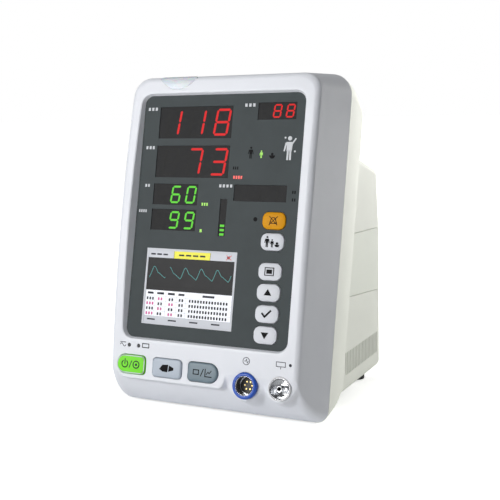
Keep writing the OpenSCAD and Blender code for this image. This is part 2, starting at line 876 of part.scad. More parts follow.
module case_screws() {
    color("silver") {
        in_slab() for (side = [-1, 1]) {
            slab_rod(side * case_screw_u, case_screw_v, slab_d - 2.2, slab_d - 0.4, 3.2);
            slab_rod(side * case_screw_u, case_screw_v, 48, slab_d - 2.1, 1.5);
        }
        in_case() for (side = [-1, 1]) translate([side * lower_screw_x, lower_screw_y, 0]) {
            translate([0, 0, 3.7]) cylinder(r = 3.2, h = 1.8);
            translate([0, 0, 5.4]) cylinder(r = 1.5, h = 12);
        }
    }
}

module power_supply() {
    color("olivedrab") in_case() translate([-76, 74, 21]) {
        cube([72, 72, board_t]);
        translate([6, 8, board_t]) cube([28, 30, 24]);
        translate([42, 10, board_t]) cylinder(r = 7, h = 26);
        translate([60, 10, board_t]) cylinder(r = 5, h = 20);
        translate([8, 46, board_t]) cube([30, 4, 28]);
    }
}

// ---- cuff pump and valves ------------------------------------------------------------------

pump_motor_y = [108, 134];
pump_head_y = [84, 108];

module pump_motor() {
    color("silver") in_case() translate([pump_x, 0, pump_z]) difference() {
        translate([0, pump_motor_y[0], 0]) rotate([-90, 0, 0])
            cylinder(r = 13, h = pump_motor_y[1] - pump_motor_y[0]);
        translate([0, pump_motor_y[0] - 1, 0]) rotate([-90, 0, 0])
            cylinder(r = 1.5 + running_gap, h = 24);
    }
}

module pump_head() {
    color("dimgray") in_case() translate([pump_x, 0, pump_z]) difference() {
        translate([-15, pump_head_y[0], base_z + 1.5 - pump_z])
            cube([30, pump_head_y[1] - pump_head_y[0], 33]);
        translate([0, pump_head_y[0] + 3, 0]) rotate([-90, 0, 0])
            cylinder(r = 11, h = pump_head_y[1] - pump_head_y[0]);
    }
}

module pump_rotor() {
    color("goldenrod") in_case() translate([pump_x, 0, pump_z]) rotate([-90, 0, 0]) {
        translate([0, 0, 95]) cylinder(r = 1.5, h = 32);
        translate([2.5, 0, 93]) cylinder(r = 6.5, h = 8);
    }
}

plunger_r = 2;
valve_y = 96;

module valve_block() {
    color("lightslategray") in_case() difference() {
        union() {
            translate([18, valve_y - 10, valve_z - 10]) cube([50, 20, 10]);
            for (x = valve_x) translate([x, valve_y, valve_z - eps]) cylinder(r = 8.5, h = 22);
            for (x = [22, 64]) translate([x, valve_y - 16, valve_z - 5]) rotate([-90, 0, 0])
                cylinder(r = 2.2, h = 8);
        }
        for (x = valve_x) translate([x, valve_y, valve_z - 4])
            cylinder(r = plunger_r + running_gap, h = 40);
    }
}

module valve_plunger(x) {
    in_case() translate([x, valve_y, valve_z - 2]) {
        cylinder(r = plunger_r, h = 26);
        translate([0, 0, 25.5]) cylinder(r = 3.5, h = 1.5);
    }
}

module dump_valve_plunger() {
    color("silver") valve_plunger(valve_x[0]);
}

module bleed_valve_plunger() {
    color("silver") valve_plunger(valve_x[1]);
}

hose_r = 2.8;

// Hose through a list of places, in world x, y and z.
module hose(route) {
    for (i = [0:len(route) - 2]) {
        step = route[i + 1] - route[i];
        run = norm(step);
        translate(route[i]) rotate([0, acos(step[2] / run), atan2(step[1], step[0])])
            cylinder(r = hose_r, h = run);
        if (i > 0) translate(route[i]) sphere(r = hose_r + 0.2);
    }
}

module air_hoses() {
    socket_y = 26.5 * cos(lean) + nibp_v * sin(lean);
    socket_z = slab_lift - 26.5 * sin(lean) + nibp_v * cos(lean);
    color("gainsboro") in_case() {
        hose([[nibp_u, socket_y, socket_z], [nibp_u, 44, socket_z], [nibp_u, 70, valve_z - 5],
            [nibp_u, 79.8, valve_z - 5]]);
        hose([[36, pump_head_y[0], 46], [36, 74, 46], [22, 74, 60], [22, 74, valve_z - 5],
            [22, 79.8, valve_z - 5]]);
    }
}

module speaker() {
    color("dimgray") in_case() translate([40, box_rear - wall - 0.1, 112]) rotate([90, 0, 0])
        difference() {
            union() {
                cylinder(r = 18, h = 5);
                translate([0, 0, 4.9]) cylinder(r = 9, h = 8);
            }
            translate([0, 0, -1]) cylinder(r1 = 16.5, r2 = 6, h = 5);
        }
}

// ---- rear connectors -----------------------------------------------------------------------

module ac_inlet() {
    color("dimgray") in_case() difference() {
        union() {
            translate([inlet_x - 14, panel_y - 16, inlet_z[0]]) cube([28, 26, inlet_z[1] - inlet_z[0]]);
            translate([inlet_x - 24, panel_y + 1.5, inlet_z[0] + 8]) cube([48, 2, 18]);
        }
        // mouth of the inlet, and the space of the fuse drawer above it
        translate([inlet_x - 12, panel_y - 6, inlet_z[0] + 2]) cube([24, 20, 16]);
        translate([inlet_x - 10, panel_y - 10, inlet_z[0] + 22]) cube([20, 24, 8]);
        for (x = [-20, 20]) translate([inlet_x + x, panel_y, inlet_z[0] + 17])
            rotate([-90, 0, 0]) cylinder(r = 1.7, h = 6);
    }
    // the three contact blades
    color("silver") in_case() for (p = [[-7, 8], [0, 12], [7, 8]])
        translate([inlet_x + p[0] - 1, panel_y - 18, inlet_z[0] + p[1] - 2]) cube([2, 22, 4]);
}

module fuse_drawer() {
    color("black") in_case() {
        translate([inlet_x - 9.8, panel_y - 9, inlet_z[0] + 22.2]) cube([19.6, 18, 7.6]);
        translate([inlet_x - 4, panel_y + 8.9, inlet_z[0] + 23.5]) cube([8, 2.5, 2]);
    }
}

module equipotential_stud() {
    color("goldenrod") in_case() translate([stud_x, 0, stud_z]) rotate([-90, 0, 0]) union() {
        translate([0, 0, panel_y - 6]) cylinder(r = 3, h = 19);
        translate([0, 0, panel_y - 3]) cylinder(r = 5.5, h = 3, $fn = 6);
        translate([0, 0, panel_y + pocket_floor_t]) cylinder(r = 5, h = 1.2);
    }
}

module network_socket() {
    color("lightgray") in_case() difference() {
        translate([network_x - 8, panel_y - 16, network_z]) cube([16, 18, 14]);
        translate([network_x - 6, panel_y - 11, network_z + 2]) cube([12, 16, 8.5]);
    }
}

front_bezel();
rear_housing();
recorder_bay_cover();
battery_door();
door_hinge_pin();
battery_pack();
battery_tray();
front_panel();
sys_display();
dia_display();
map_display();
pr_display();
spo2_display();
temp_display();
pulse_bargraph();
icon_lamps();
lcd_module();
display_board();
key_alarm_silence();
key_patient();
key_menu();
key_up();
key_confirm();
key_down();
key_power();
key_nibp();
key_trend();
key_switches();
key_board();
supply_lamps();
alarm_lens();
alarm_lamp_board();
spo2_flange();
spo2_shell();
spo2_insert();
spo2_contacts();
socket_nuts();
nibp_rim();
nibp_cup();
nibp_nipple();
chassis_plate();
main_board();
spo2_board();
power_supply();
pump_motor();
pump_head();
pump_rotor();
valve_block();
dump_valve_plunger();
bleed_valve_plunger();
air_hoses();
speaker();
ac_inlet();
fuse_drawer();
equipotential_stud();
network_socket();
rubber_feet();
mount_inserts();
case_screws();
board_screws();
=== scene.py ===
"""Looks of the vital-signs monitor: smooth case, printed panel, lit digits, keys and sockets."""

import math

import bmesh
import bpy
import numpy as np
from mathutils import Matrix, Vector


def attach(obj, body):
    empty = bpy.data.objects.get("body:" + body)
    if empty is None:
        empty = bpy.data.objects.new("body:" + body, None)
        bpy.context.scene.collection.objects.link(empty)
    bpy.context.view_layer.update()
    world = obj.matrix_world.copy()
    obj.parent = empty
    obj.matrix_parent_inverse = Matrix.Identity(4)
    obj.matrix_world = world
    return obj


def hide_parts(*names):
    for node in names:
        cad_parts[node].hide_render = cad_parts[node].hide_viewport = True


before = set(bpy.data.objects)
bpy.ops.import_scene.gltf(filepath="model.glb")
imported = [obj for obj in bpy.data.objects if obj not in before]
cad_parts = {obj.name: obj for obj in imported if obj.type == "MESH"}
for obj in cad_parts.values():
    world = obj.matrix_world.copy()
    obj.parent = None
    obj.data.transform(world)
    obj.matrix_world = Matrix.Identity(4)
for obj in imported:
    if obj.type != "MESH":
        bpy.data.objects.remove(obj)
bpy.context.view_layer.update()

# ---- frames ---------------------------------------------------------------------------------

LEAN = math.radians(13.3)
Y_CENTRE = 86.1
SLAB_LIFT = 13.1
MM = 0.001


def slab(u, d, v):
    """World place in metres of a point across, into and up the slab, in millimetres."""
    return Vector((
        u * MM,
        (d * math.cos(LEAN) + v * math.sin(LEAN) - Y_CENTRE) * MM,
        (-d * math.sin(LEAN) + v * math.cos(LEAN) + SLAB_LIFT) * MM,
    ))


def bulge(v):
    """How far the crown of the face has risen at height v, from 0 to 1."""
    return max(0.0, 1 - ((v - 138) / 110) ** 2)


# ---- materials ------------------------------------------------------------------------------


def socket_value(shader, name, value):
    shader.inputs[name].default_value = value


def material(name, rgb, rough=0.45, metal=0.0, grain=900.0, bump=0.12, vary=0.06,
             cloud=30.0, coat=0.0, emit=None, strength=0.0, depth=0.00006, sheen=0.0,
             gloss=0.5, subsurface=0.0):
    """A moulded or painted surface: clouded colour, fine grain in roughness and bump."""
    m = bpy.data.materials.new(name)
    m.use_nodes = True
    nodes, links = m.node_tree.nodes, m.node_tree.links
    shader = nodes["Principled BSDF"]
    place = nodes.new("ShaderNodeTexCoord")
    clouds = nodes.new("ShaderNodeTexNoise")
    clouds.inputs["Scale"].default_value = cloud
    clouds.inputs["Detail"].default_value = 4
    links.new(place.outputs["Object"], clouds.inputs["Vector"])
    ramp = nodes.new("ShaderNodeValToRGB")
    ramp.color_ramp.elements[0].position = 0.3
    ramp.color_ramp.elements[1].position = 0.7
    ramp.color_ramp.elements[0].color = [c * (1 - vary) for c in rgb] + [1]
    ramp.color_ramp.elements[1].color = [min(1, c * (1 + vary * 0.6)) for c in rgb] + [1]
    links.new(clouds.outputs["Fac"], ramp.inputs["Fac"])
    links.new(ramp.outputs["Color"], shader.inputs["Base Color"])
    fine = nodes.new("ShaderNodeTexNoise")
    fine.inputs["Scale"].default_value = grain
    fine.inputs["Detail"].default_value = 3
    links.new(place.outputs["Object"], fine.inputs["Vector"])
    spread = nodes.new("ShaderNodeMapRange")
    spread.inputs["To Min"].default_value = max(0.02, rough - 0.07)
    spread.inputs["To Max"].default_value = min(1, rough + 0.07)
    links.new(fine.outputs["Fac"], spread.inputs["Value"])
    links.new(spread.outputs["Result"], shader.inputs["Roughness"])
    relief = nodes.new("ShaderNodeBump")
    relief.inputs["Strength"].default_value = bump
    relief.inputs["Distance"].default_value = depth
    links.new(fine.outputs["Fac"], relief.inputs["Height"])
    links.new(relief.outputs["Normal"], shader.inputs["Normal"])
    socket_value(shader, "Metallic", metal)
    socket_value(shader, "Specular IOR Level", gloss)
    if coat:
        socket_value(shader, "Coat Weight", coat)
        socket_value(shader, "Coat Roughness", 0.08)
    if sheen:
        socket_value(shader, "Sheen Weight", sheen)
    if subsurface:
        socket_value(shader, "Subsurface Weight", subsurface)
        socket_value(shader, "Subsurface Scale", 0.004)
    if emit:
        socket_value(shader, "Emission Color", (*emit, 1))
        socket_value(shader, "Emission Strength", strength)
    return m


MAT = {
    "front": material("case_front_plastic", (0.82, 0.84, 0.89), 0.42, grain=1400, vary=0.02),
    "rear": material("case_rear_plastic", (0.8, 0.82, 0.76), 0.68, grain=1400, vary=0.025,
                     gloss=0.08),
    "cover": material("bay_cover_plastic", (0.79, 0.82, 0.75), 0.68, grain=1400, vary=0.025,
                      gloss=0.08),
    "panel": material("panel_film", (0.047, 0.059, 0.062), 0.5, grain=2600, vary=0.08, cloud=60,
                      gloss=0.18),
    "window": material("window_black", (0.003, 0.003, 0.004), 0.4, grain=400, gloss=0.12),
    "unlit": material("segment_unlit", (0.0042, 0.004, 0.004), 0.4, grain=400, gloss=0.12),
    "red": material("segment_red", (0.2, 0.006, 0.006), 0.4, emit=(0.72, 0.006, 0.008),
                    strength=0.8, gloss=0.1),
    "green": material("segment_green", (0.03, 0.16, 0.01), 0.4, emit=(0.12, 0.7, 0.03),
                      strength=0.8, gloss=0.15),
    "lime_lamp": material("lamp_lime", (0.2, 0.4, 0.03), 0.4, emit=(0.25, 0.7, 0.04), strength=0.6),
    "red_lamp": material("lamp_red", (0.8, 0.08, 0.05), 0.4, emit=(0.8, 0.02, 0.02), strength=0.6),
    "ink_black": material("ink_black", (0.004, 0.004, 0.005), 0.5, grain=1800, gloss=0.08),
    "ink_white": material("ink_white", (0.62, 0.64, 0.67), 0.5, grain=1800, vary=0.03),
    "ink_grey": material("ink_grey", (0.3, 0.31, 0.36), 0.5, grain=1800),
    "ink_dark": material("ink_dark", (0.035, 0.038, 0.05), 0.5, grain=1800, gloss=0.15),
    "ink_yellow": material("ink_yellow", (0.8, 0.76, 0.02), 0.45, emit=(0.9, 0.85, 0.02),
                           strength=0.15),
    "ink_teal": material("ink_teal", (0.02, 0.2, 0.2), 0.4, emit=(0.03, 0.34, 0.32), strength=0.45),
    "ink_magenta": material("ink_magenta", (0.62, 0.08, 0.3), 0.5, grain=1800),
    "ink_red": material("ink_red", (0.75, 0.05, 0.05), 0.5, grain=1800),
    "lcd_frame": material("lcd_frame", (0.55, 0.57, 0.62), 0.4, grain=1500, vary=0.03),
    "lcd_black": material("lcd_black", (0.005, 0.005, 0.006), 0.35, grain=500, gloss=0.15),
    "lcd_white": material("lcd_white", (0.85, 0.86, 0.9), 0.35, emit=(0.9, 0.92, 1), strength=0.18,
                          vary=0.02),
    "lcd_bar": material("lcd_bar", (0.5, 0.52, 0.57), 0.35, emit=(0.6, 0.62, 0.7), strength=0.08,
                        vary=0.03),
    "key_grey": material("rubber_grey", (0.72, 0.74, 0.79), 0.55, grain=1100, vary=0.04,
                         sheen=0.08),
    "key_orange": material("rubber_orange", (0.72, 0.31, 0.002), 0.55, grain=1100, vary=0.05,
                           gloss=0.2),
    "key_lime": material("key_lime", (0.22, 0.82, 0.04), 0.5, grain=1100, vary=0.05, gloss=0.22),
    "key_pale": material("key_pale", (0.46, 0.52, 0.6), 0.42, grain=1100, vary=0.04),
    "key_slate": material("key_slate", (0.17, 0.23, 0.27), 0.42, grain=1100, vary=0.05),
    "lens": material("lens_milky", (0.72, 0.76, 0.82), 0.25, grain=300, vary=0.03, coat=0.3,
                     subsurface=0.4),
    "blue": material("socket_blue", (0.015, 0.09, 0.5), 0.33, grain=900, vary=0.08),
    "insert": material("socket_insert", (0.05, 0.048, 0.045), 0.5, grain=900, vary=0.15),
    "white": material("rim_white", (0.8, 0.8, 0.82), 0.35, grain=900, vary=0.03),
    "steel": material("brushed_steel", (0.56, 0.57, 0.6), 0.3, metal=1, grain=1500, vary=0.08),
    "nickel": material("nickel_plate", (0.72, 0.73, 0.75), 0.2, metal=1, grain=700, vary=0.06),
    "brass": material("brass", (0.72, 0.52, 0.2), 0.3, metal=1, grain=900, vary=0.1),
    "board": material("circuit_board", (0.03, 0.2, 0.09), 0.45, grain=2200, vary=0.25, cloud=260),
    "black": material("black_plastic", (0.02, 0.02, 0.022), 0.45, grain=1200, vary=0.15),
    "battery": material("battery_wrap", (0.06, 0.14, 0.3), 0.4, grain=800, vary=0.12),
    "rubber": material("foot_rubber", (0.05, 0.05, 0.053), 0.75, grain=1500, bump=0.3, vary=0.2),
    "hose": material("hose_clear", (0.6, 0.61, 0.6), 0.35, grain=600, vary=0.05, sheen=0.1),
}

# ---- mesh helpers ---------------------------------------------------------------------------


def piece(name, verts, faces, mat, body, nodes=(), smooth=None):
    """A new mesh piece in world metres that rides on a body and may stand for CAD nodes."""
    mesh = bpy.data.meshes.new(name)
    mesh.from_pydata([tuple(v) for v in verts], [], faces)
    mesh.validate()
    o = bpy.data.objects.new(name, mesh)
    bpy.context.scene.collection.objects.link(o)
    return dress(o, mat, body, nodes, smooth)


def outward(o):
    b = bmesh.new()
    b.from_mesh(o.data)
    bmesh.ops.recalc_face_normals(b, faces=b.faces)
    b.to_mesh(o.data)
    b.free()


def dress(o, mat, body, nodes=(), smooth=None):
    outward(o)
    if mat:
        o.data.materials.clear()
        o.data.materials.append(MAT[mat])
    if smooth:
        shade(o, smooth)
    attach(o, body)
    if nodes:
        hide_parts(*nodes)
    return o


def shade(o, angle):
    """Smooth shading with sharp edges above the angle, and flat faces kept flat."""
    o.data.shade_smooth()
    o.data.set_sharp_from_angle(angle=math.radians(angle))
    w = o.modifiers.new("weighted", "WEIGHTED_NORMAL")
    w.keep_sharp = True
    w.weight = 100


def apply_modifiers(o):
    dg = bpy.context.evaluated_depsgraph_get()
    mesh = bpy.data.meshes.new_from_object(o.evaluated_get(dg))
    o.modifiers.clear()
    o.data = mesh
    return o


def loft(rings, closed_path=False, caps=False):
    """Faces between rings of equal length; the rings themselves are closed loops."""
    n = len(rings[0])
    verts = [p for ring in rings for p in ring]
    faces = []
    last = len(rings) if closed_path else len(rings) - 1
    for j in range(last):
        a, b = j * n, ((j + 1) % len(rings)) * n
        for i in range(n):
            k = (i + 1) % n
            faces.append((a + i, a + k, b + k, b + i))
    if caps:
        faces.append(tuple(range(n)))
        faces.append(tuple(range((len(rings) - 1) * n, len(rings) * n)))
    return verts, faces


def arc(cu, cv, r, start, end, n):
    return [(cu + r * math.cos(math.radians(start + (end - start) * i / n)),
             cv + r * math.sin(math.radians(start + (end - start) * i / n)))
            for i in range(n + 1)]


def outline(left, right, low, high, r_ll, r_lr=None, r_ur=None, r_ul=None, corner=6, sides=None):
    """Rounded rectangle, from the lower left corner's left end round through the lower edge."""
    r_lr = r_ll if r_lr is None else r_lr
    r_ur = r_ll if r_ur is None else r_ur
    r_ul = r_ll if r_ul is None else r_ul
    low_n, side_n, top_n = sides or (1, 1, 1)
    parts = [
        arc(left + r_ll, low + r_ll, r_ll, 180, 270, corner), low_n,
        arc(right - r_lr, low + r_lr, r_lr, 270, 360, corner), side_n,
        arc(right - r_ur, high - r_ur, r_ur, 0, 90, corner), top_n,
        arc(left + r_ul, high - r_ul, r_ul, 90, 180, corner), side_n,
    ]
    points = []
    for c in range(0, 8, 2):
        points += parts[c]
        a, b = parts[c][-1], parts[(c + 2) % 8][0]
        n = parts[c + 1]
        points += [(a[0] + (b[0] - a[0]) * i / n, a[1] + (b[1] - a[1]) * i / n)
                   for i in range(1, n)]
    return points


def prism_data(points, d0, d1):
    """Closed prism in the slab frame from an outline seen from the front."""
    n = len(points)
    verts = [slab(u, d0, v) for u, v in points] + [slab(u, d1, v) for u, v in points]
    faces = [tuple(range(n)), tuple(range(n, 2 * n))]
    faces += [(i, (i + 1) % n, n + (i + 1) % n, n + i) for i in range(n)]
    return verts, faces


def join(parts):
    verts, faces = [], []
    for v, f in parts:
        k = len(verts)
        verts += list(v)
        faces += [tuple(i + k for i in face) for face in f]
    return verts, faces


def cutter(name, parts):
    verts, faces = join(parts)
    mesh = bpy.data.meshes.new(name)
    mesh.from_pydata([tuple(v) for v in verts], [], faces)
    o = bpy.data.objects.new(name, mesh)
    bpy.context.scene.collection.objects.link(o)
    outward(o)
    return o


def cut(o, tool):
    b = o.modifiers.new("cut", "BOOLEAN")
    b.operation = "DIFFERENCE"
    b.solver = "EXACT"
    b.object = tool
    apply_modifiers(o)
    bpy.data.objects.remove(tool)


def circle(u, v, r, n=48):
    return [(u + r * math.cos(2 * math.pi * i / n), v + r * math.sin(2 * math.pi * i / n))
            for i in range(n)]


def lathe(name, u, v, profile, mat, body, nodes=(), slot=None, smooth=35, n=72):
    """A turned piece in the slab frame: profile of (radius, depth), closed on itself."""
    rings = [[slab(u + r * math.cos(2 * math.pi * i / n), d,
                   v + r * math.sin(2 * math.pi * i / n)) for i in range(n)]
             for r, d in profile]
    verts, faces = loft(rings, closed_path=True)
    return piece(name, verts, faces, mat, body, nodes, smooth)


def fillet(points, r, n=5):
    """Rounds each corner of a closed profile of (radius, depth) by r, or by the point's own."""
    out = []
    count = len(points)
    for i in range(count):
        p = Vector(points[i][:2])
        a, b = Vector(points[i - 1][:2]), Vector(points[(i + 1) % count][:2])
        rr = points[i][2] if len(points[i]) > 2 else r
        rr = min(rr, (a - p).length * 0.48, (b - p).length * 0.48)
        if rr < 0.01:
            out.append(tuple(p))
            continue
        s, e = p + (a - p).normalized() * rr, p + (b - p).normalized() * rr
        for k in range(n + 1):
            t = k / n
            q = s * (1 - t) ** 2 + p * 2 * t * (1 - t) + e * t * t
            out.append((q.x, q.y))
    return out


def cad_copy(node, name, mat, body, smooth=None):
    """A copy of a CAD node's mesh, smoothed in its shading, that stands for the node."""
    o = bpy.data.objects.new(name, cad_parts[node].data.copy())
    bpy.context.scene.collection.objects.link(o)
    b = bmesh.new()
    b.from_mesh(o.data)
    bmesh.ops.remove_doubles(b, verts=b.verts, dist=2e-6)
    b.to_mesh(o.data)
    b.free()
    if o.data.has_custom_normals:
        o.data.attributes.remove(o.data.attributes["custom_normal"])
    return dress(o, mat, body, (node,), smooth)


# ---- camera, floor and light ----------------------------------------------------------------


def aim(o, direction, roll=0.0):
    f = Vector(direction).normalized()
    r = f.cross(Vector((0, 0, 1))).normalized()
    u = r.cross(f)
    c, s = math.cos(roll), math.sin(roll)
    right, up = r * c + u * s, -r * s + u * c
    m = o.matrix_world.to_3x3()
    for row in range(3):
        m[row][0], m[row][1], m[row][2] = right[row], up[row], -f[row]
    o.matrix_world = m.to_4x4()


camera = bpy.data.objects.new("camera", bpy.data.cameras.new("camera"))
bpy.context.scene.collection.objects.link(camera)
aim(camera, (-0.43915, 0.88499, -0.15472), math.radians(-1.354))
camera.location = (0.3281, -0.6534, 0.23175)
camera.data.lens = 67.2
camera.data.sensor_width = 36
bpy.context.scene.camera = camera
bpy.context.scene.view_settings.view_transform = "Standard"


def area_light(name, place, target, size, power, rgb=(1, 1, 1)):
    light = bpy.data.lights.new(name, "AREA")
    light.shape = "RECTANGLE"
    light.size, light.size_y = size
    light.energy = power
    light.color = rgb
    o = bpy.data.objects.new(name, light)
    bpy.context.scene.collection.objects.link(o)
    aim(o, Vector(target) - Vector(place))
    o.location = place


area_light("key", (-0.75, -1.5, 0.7), (0, 0, 0.12), (0.9, 0.9), 21)
area_light("top", (-0.1, 0.2, 1.6), (0, 0, 0.1), (1.0, 1.0), 3.5)
# from behind, so far back that it reaches the rear box but not the drafted side band
area_light("rear_right", (0.48, 1.75, 0.3), (0.06, 0.03, 0.08), (0.5, 0.6), 46, (1, 0.99, 0.95))

world = bpy.data.worlds.new("studio")
bpy.context.scene.world = world
world.use_nodes = True
background = world.node_tree.nodes["Background"]
background.inputs["Color"].default_value = (0.97, 0.98, 1, 1)
background.inputs["Strength"].default_value = 0.12
seen = world.node_tree.nodes.new("ShaderNodeBackground")
seen.inputs["Color"].default_value = (1, 1, 1, 1)
seen.inputs["Strength"].default_value = 1.0
path = world.node_tree.nodes.new("ShaderNodeLightPath")
either = world.node_tree.nodes.new("ShaderNodeMixShader")
world.node_tree.links.new(path.outputs["Is Camera Ray"], either.inputs["Fac"])
world.node_tree.links.new(background.outputs["Background"], either.inputs[1])
world.node_tree.links.new(seen.outputs["Background"], either.inputs[2])
world.node_tree.links.new(either.outputs["Shader"],
                          world.node_tree.nodes["World Output"].inputs["Surface"])

FLOOR = 12.0
FLOOR_GREY_TO = 0.12
FLOOR_WHITE_FROM = 0.42
floor_mesh = bpy.data.meshes.new("floor")
floor_mesh.from_pydata([(-FLOOR, -FLOOR, 0), (FLOOR, -FLOOR, 0), (FLOOR, FLOOR, 0),
                        (-FLOOR, FLOOR, 0)], [], [(0, 1, 2, 3)])
floor = bpy.data.objects.new("floor", floor_mesh)
bpy.context.scene.collection.objects.link(floor)
floor_look = material("floor_white", (0.97, 0.975, 0.98), 0.7, grain=200, vary=0.01, bump=0.02)
floor.data.materials.append(floor_look)
# seen by the camera, the floor brightens away from the object until it meets the white surround
nodes, links = floor_look.node_tree.nodes, floor_look.node_tree.links
distance = nodes.new("ShaderNodeVectorMath")
distance.operation = "LENGTH"
links.new(nodes["Texture Coordinate"].outputs["Object"], distance.inputs[0])
brighten = nodes.new("ShaderNodeMapRange")
brighten.interpolation_type = "SMOOTHSTEP"
brighten.inputs["From Min"].default_value = FLOOR_GREY_TO
brighten.inputs["From Max"].default_value = FLOOR_WHITE_FROM
brighten.inputs["To Min"].default_value = 0.5
brighten.inputs["To Max"].default_value = 1.0
links.new(distance.outputs["Value"], brighten.inputs["Value"])
seen_floor = nodes.new("ShaderNodeLightPath")
glow = nodes.new("ShaderNodeMath")
glow.operation = "MULTIPLY"
links.new(brighten.outputs["Result"], glow.inputs[0])
links.new(seen_floor.outputs["Is Camera Ray"], glow.inputs[1])
links.new(glow.outputs["Value"], nodes["Principled BSDF"].inputs["Emission Strength"])
socket_value(nodes["Principled BSDF"], "Emission Color", (1, 1, 1, 1))

# ---- front bezel ----------------------------------------------------------------------------

FACE_HALF_W = 77.4
FACE_TOP = 246.5
SEAM_D = 39.0
SEAM_TOP = 255.0
SIDE_SLOPE = math.tan(math.radians(14.5))
CHIN_TOP = 28.0
CHIN_DROP = 31.2
CHIN_POWER = 1.6
CROWN = 4.0
EDGE_R = 3.4
WALL = 2.6
PANEL = (-67.3, 67.3, 47.4, 232.9)
PANEL_D = 2.0
PANEL_R = 7.0
PANEL_STRAIGHT = 60.3
LEDGE = 2.2
LEDGE_D = 4.4
FACE_STEPS = 14
RECESS_SLOPE = math.tan(math.radians(24))
POD = (-74.4, 21.2, 15.7, 38.0)
POD_R = (10.6, 6.0)
SPO2 = (37.5, 20.9)
NIBP = (64.5, 21.6)
SIDES = (150, 44, 34)
CORNER = 9


def chin_depth(v):
    """Depth of the face where it has rolled back to height v."""
    q = min(1.0, max(0.0, (CHIN_TOP - v) / CHIN_DROP))
    return (SEAM_D + 1) * (1 - (1 - q ** CHIN_POWER) ** (1 / CHIN_POWER))


def chin_height(d):
    left = max(0, 1 - d / (SEAM_D + 1)) ** CHIN_POWER
    return CHIN_TOP - CHIN_DROP * (1 - left) ** (1 / CHIN_POWER)


def face_depth(v):
    """Depth of the face or chin on the middle line."""
    return chin_depth(v) if v < CHIN_TOP else -CROWN * bulge(v)


def edge_inset(d):
    return EDGE_R - math.sqrt(max(0.0, EDGE_R ** 2 - max(0.0, EDGE_R - d) ** 2))


def smooth_step(x):
    x = min(1.0, max(0.0, x))
    return x * x * (3 - 2 * x)


def rect_distance(u, v, box, radii):
    """Distance outside a rectangle with its own corner radius on each side; negative inside."""
    cu, cv = (box[0] + box[1]) / 2, (box[2] + box[3]) / 2
    r = radii[0] if u < cu else radii[1]
    qu = abs(u - cu) - (box[1] - box[0]) / 2 + r
    qv = abs(v - cv) - (box[3] - box[2]) / 2 + r
    return math.hypot(max(qu, 0), max(qv, 0)) + min(max(qu, qv), 0) - r


def raised(u, v, d):
    """Brings the chin forward under the key pod and round the two sockets."""
    if v > 34:
        return d
    pod = smooth_step(0.5 - rect_distance(u, v, POD, POD_R) / 2.2)
    d = d - pod * max(0.0, d - 0.05)
    for (cu, cv), seat, r0, r1 in ((SPO2, 1.5, 10.2, 15.5), (NIBP, 0.9, 9.4, 13.5)):
        near = smooth_step((r1 - math.hypot(u - cu, v - cv)) / (r1 - r0))
        d = d - near * max(0.0, d - seat)
    return d


def place_ring(points, d, inner=False):
    """World ring from an outline; the crown fades from the face back to the seam."""
    ring = []
    fade = max(0.0, 1 - d / SEAM_D)
    for u, v in points:
        b = bulge(v) * fade
        lean_out = b * min(1.0, abs(u) / FACE_HALF_W) ** 6 * (1 if u > 0 else -1)
        depth = d - CROWN * b
        if not inner:
            depth = raised(u, v, depth)
        ring.append(slab(u + lean_out, depth, v))
    return ring


def from_rim(u, v):
    """Direction away from the panel's middle at a point of its edge."""
    cu = min(max(u, -PANEL_STRAIGHT), PANEL_STRAIGHT)
    cv = min(max(v, PANEL[2] + PANEL_R), PANEL[3] - PANEL_R)
    away = Vector((u - cu, v - cv))
    if away.length > 0:
        away.normalize()
    return away


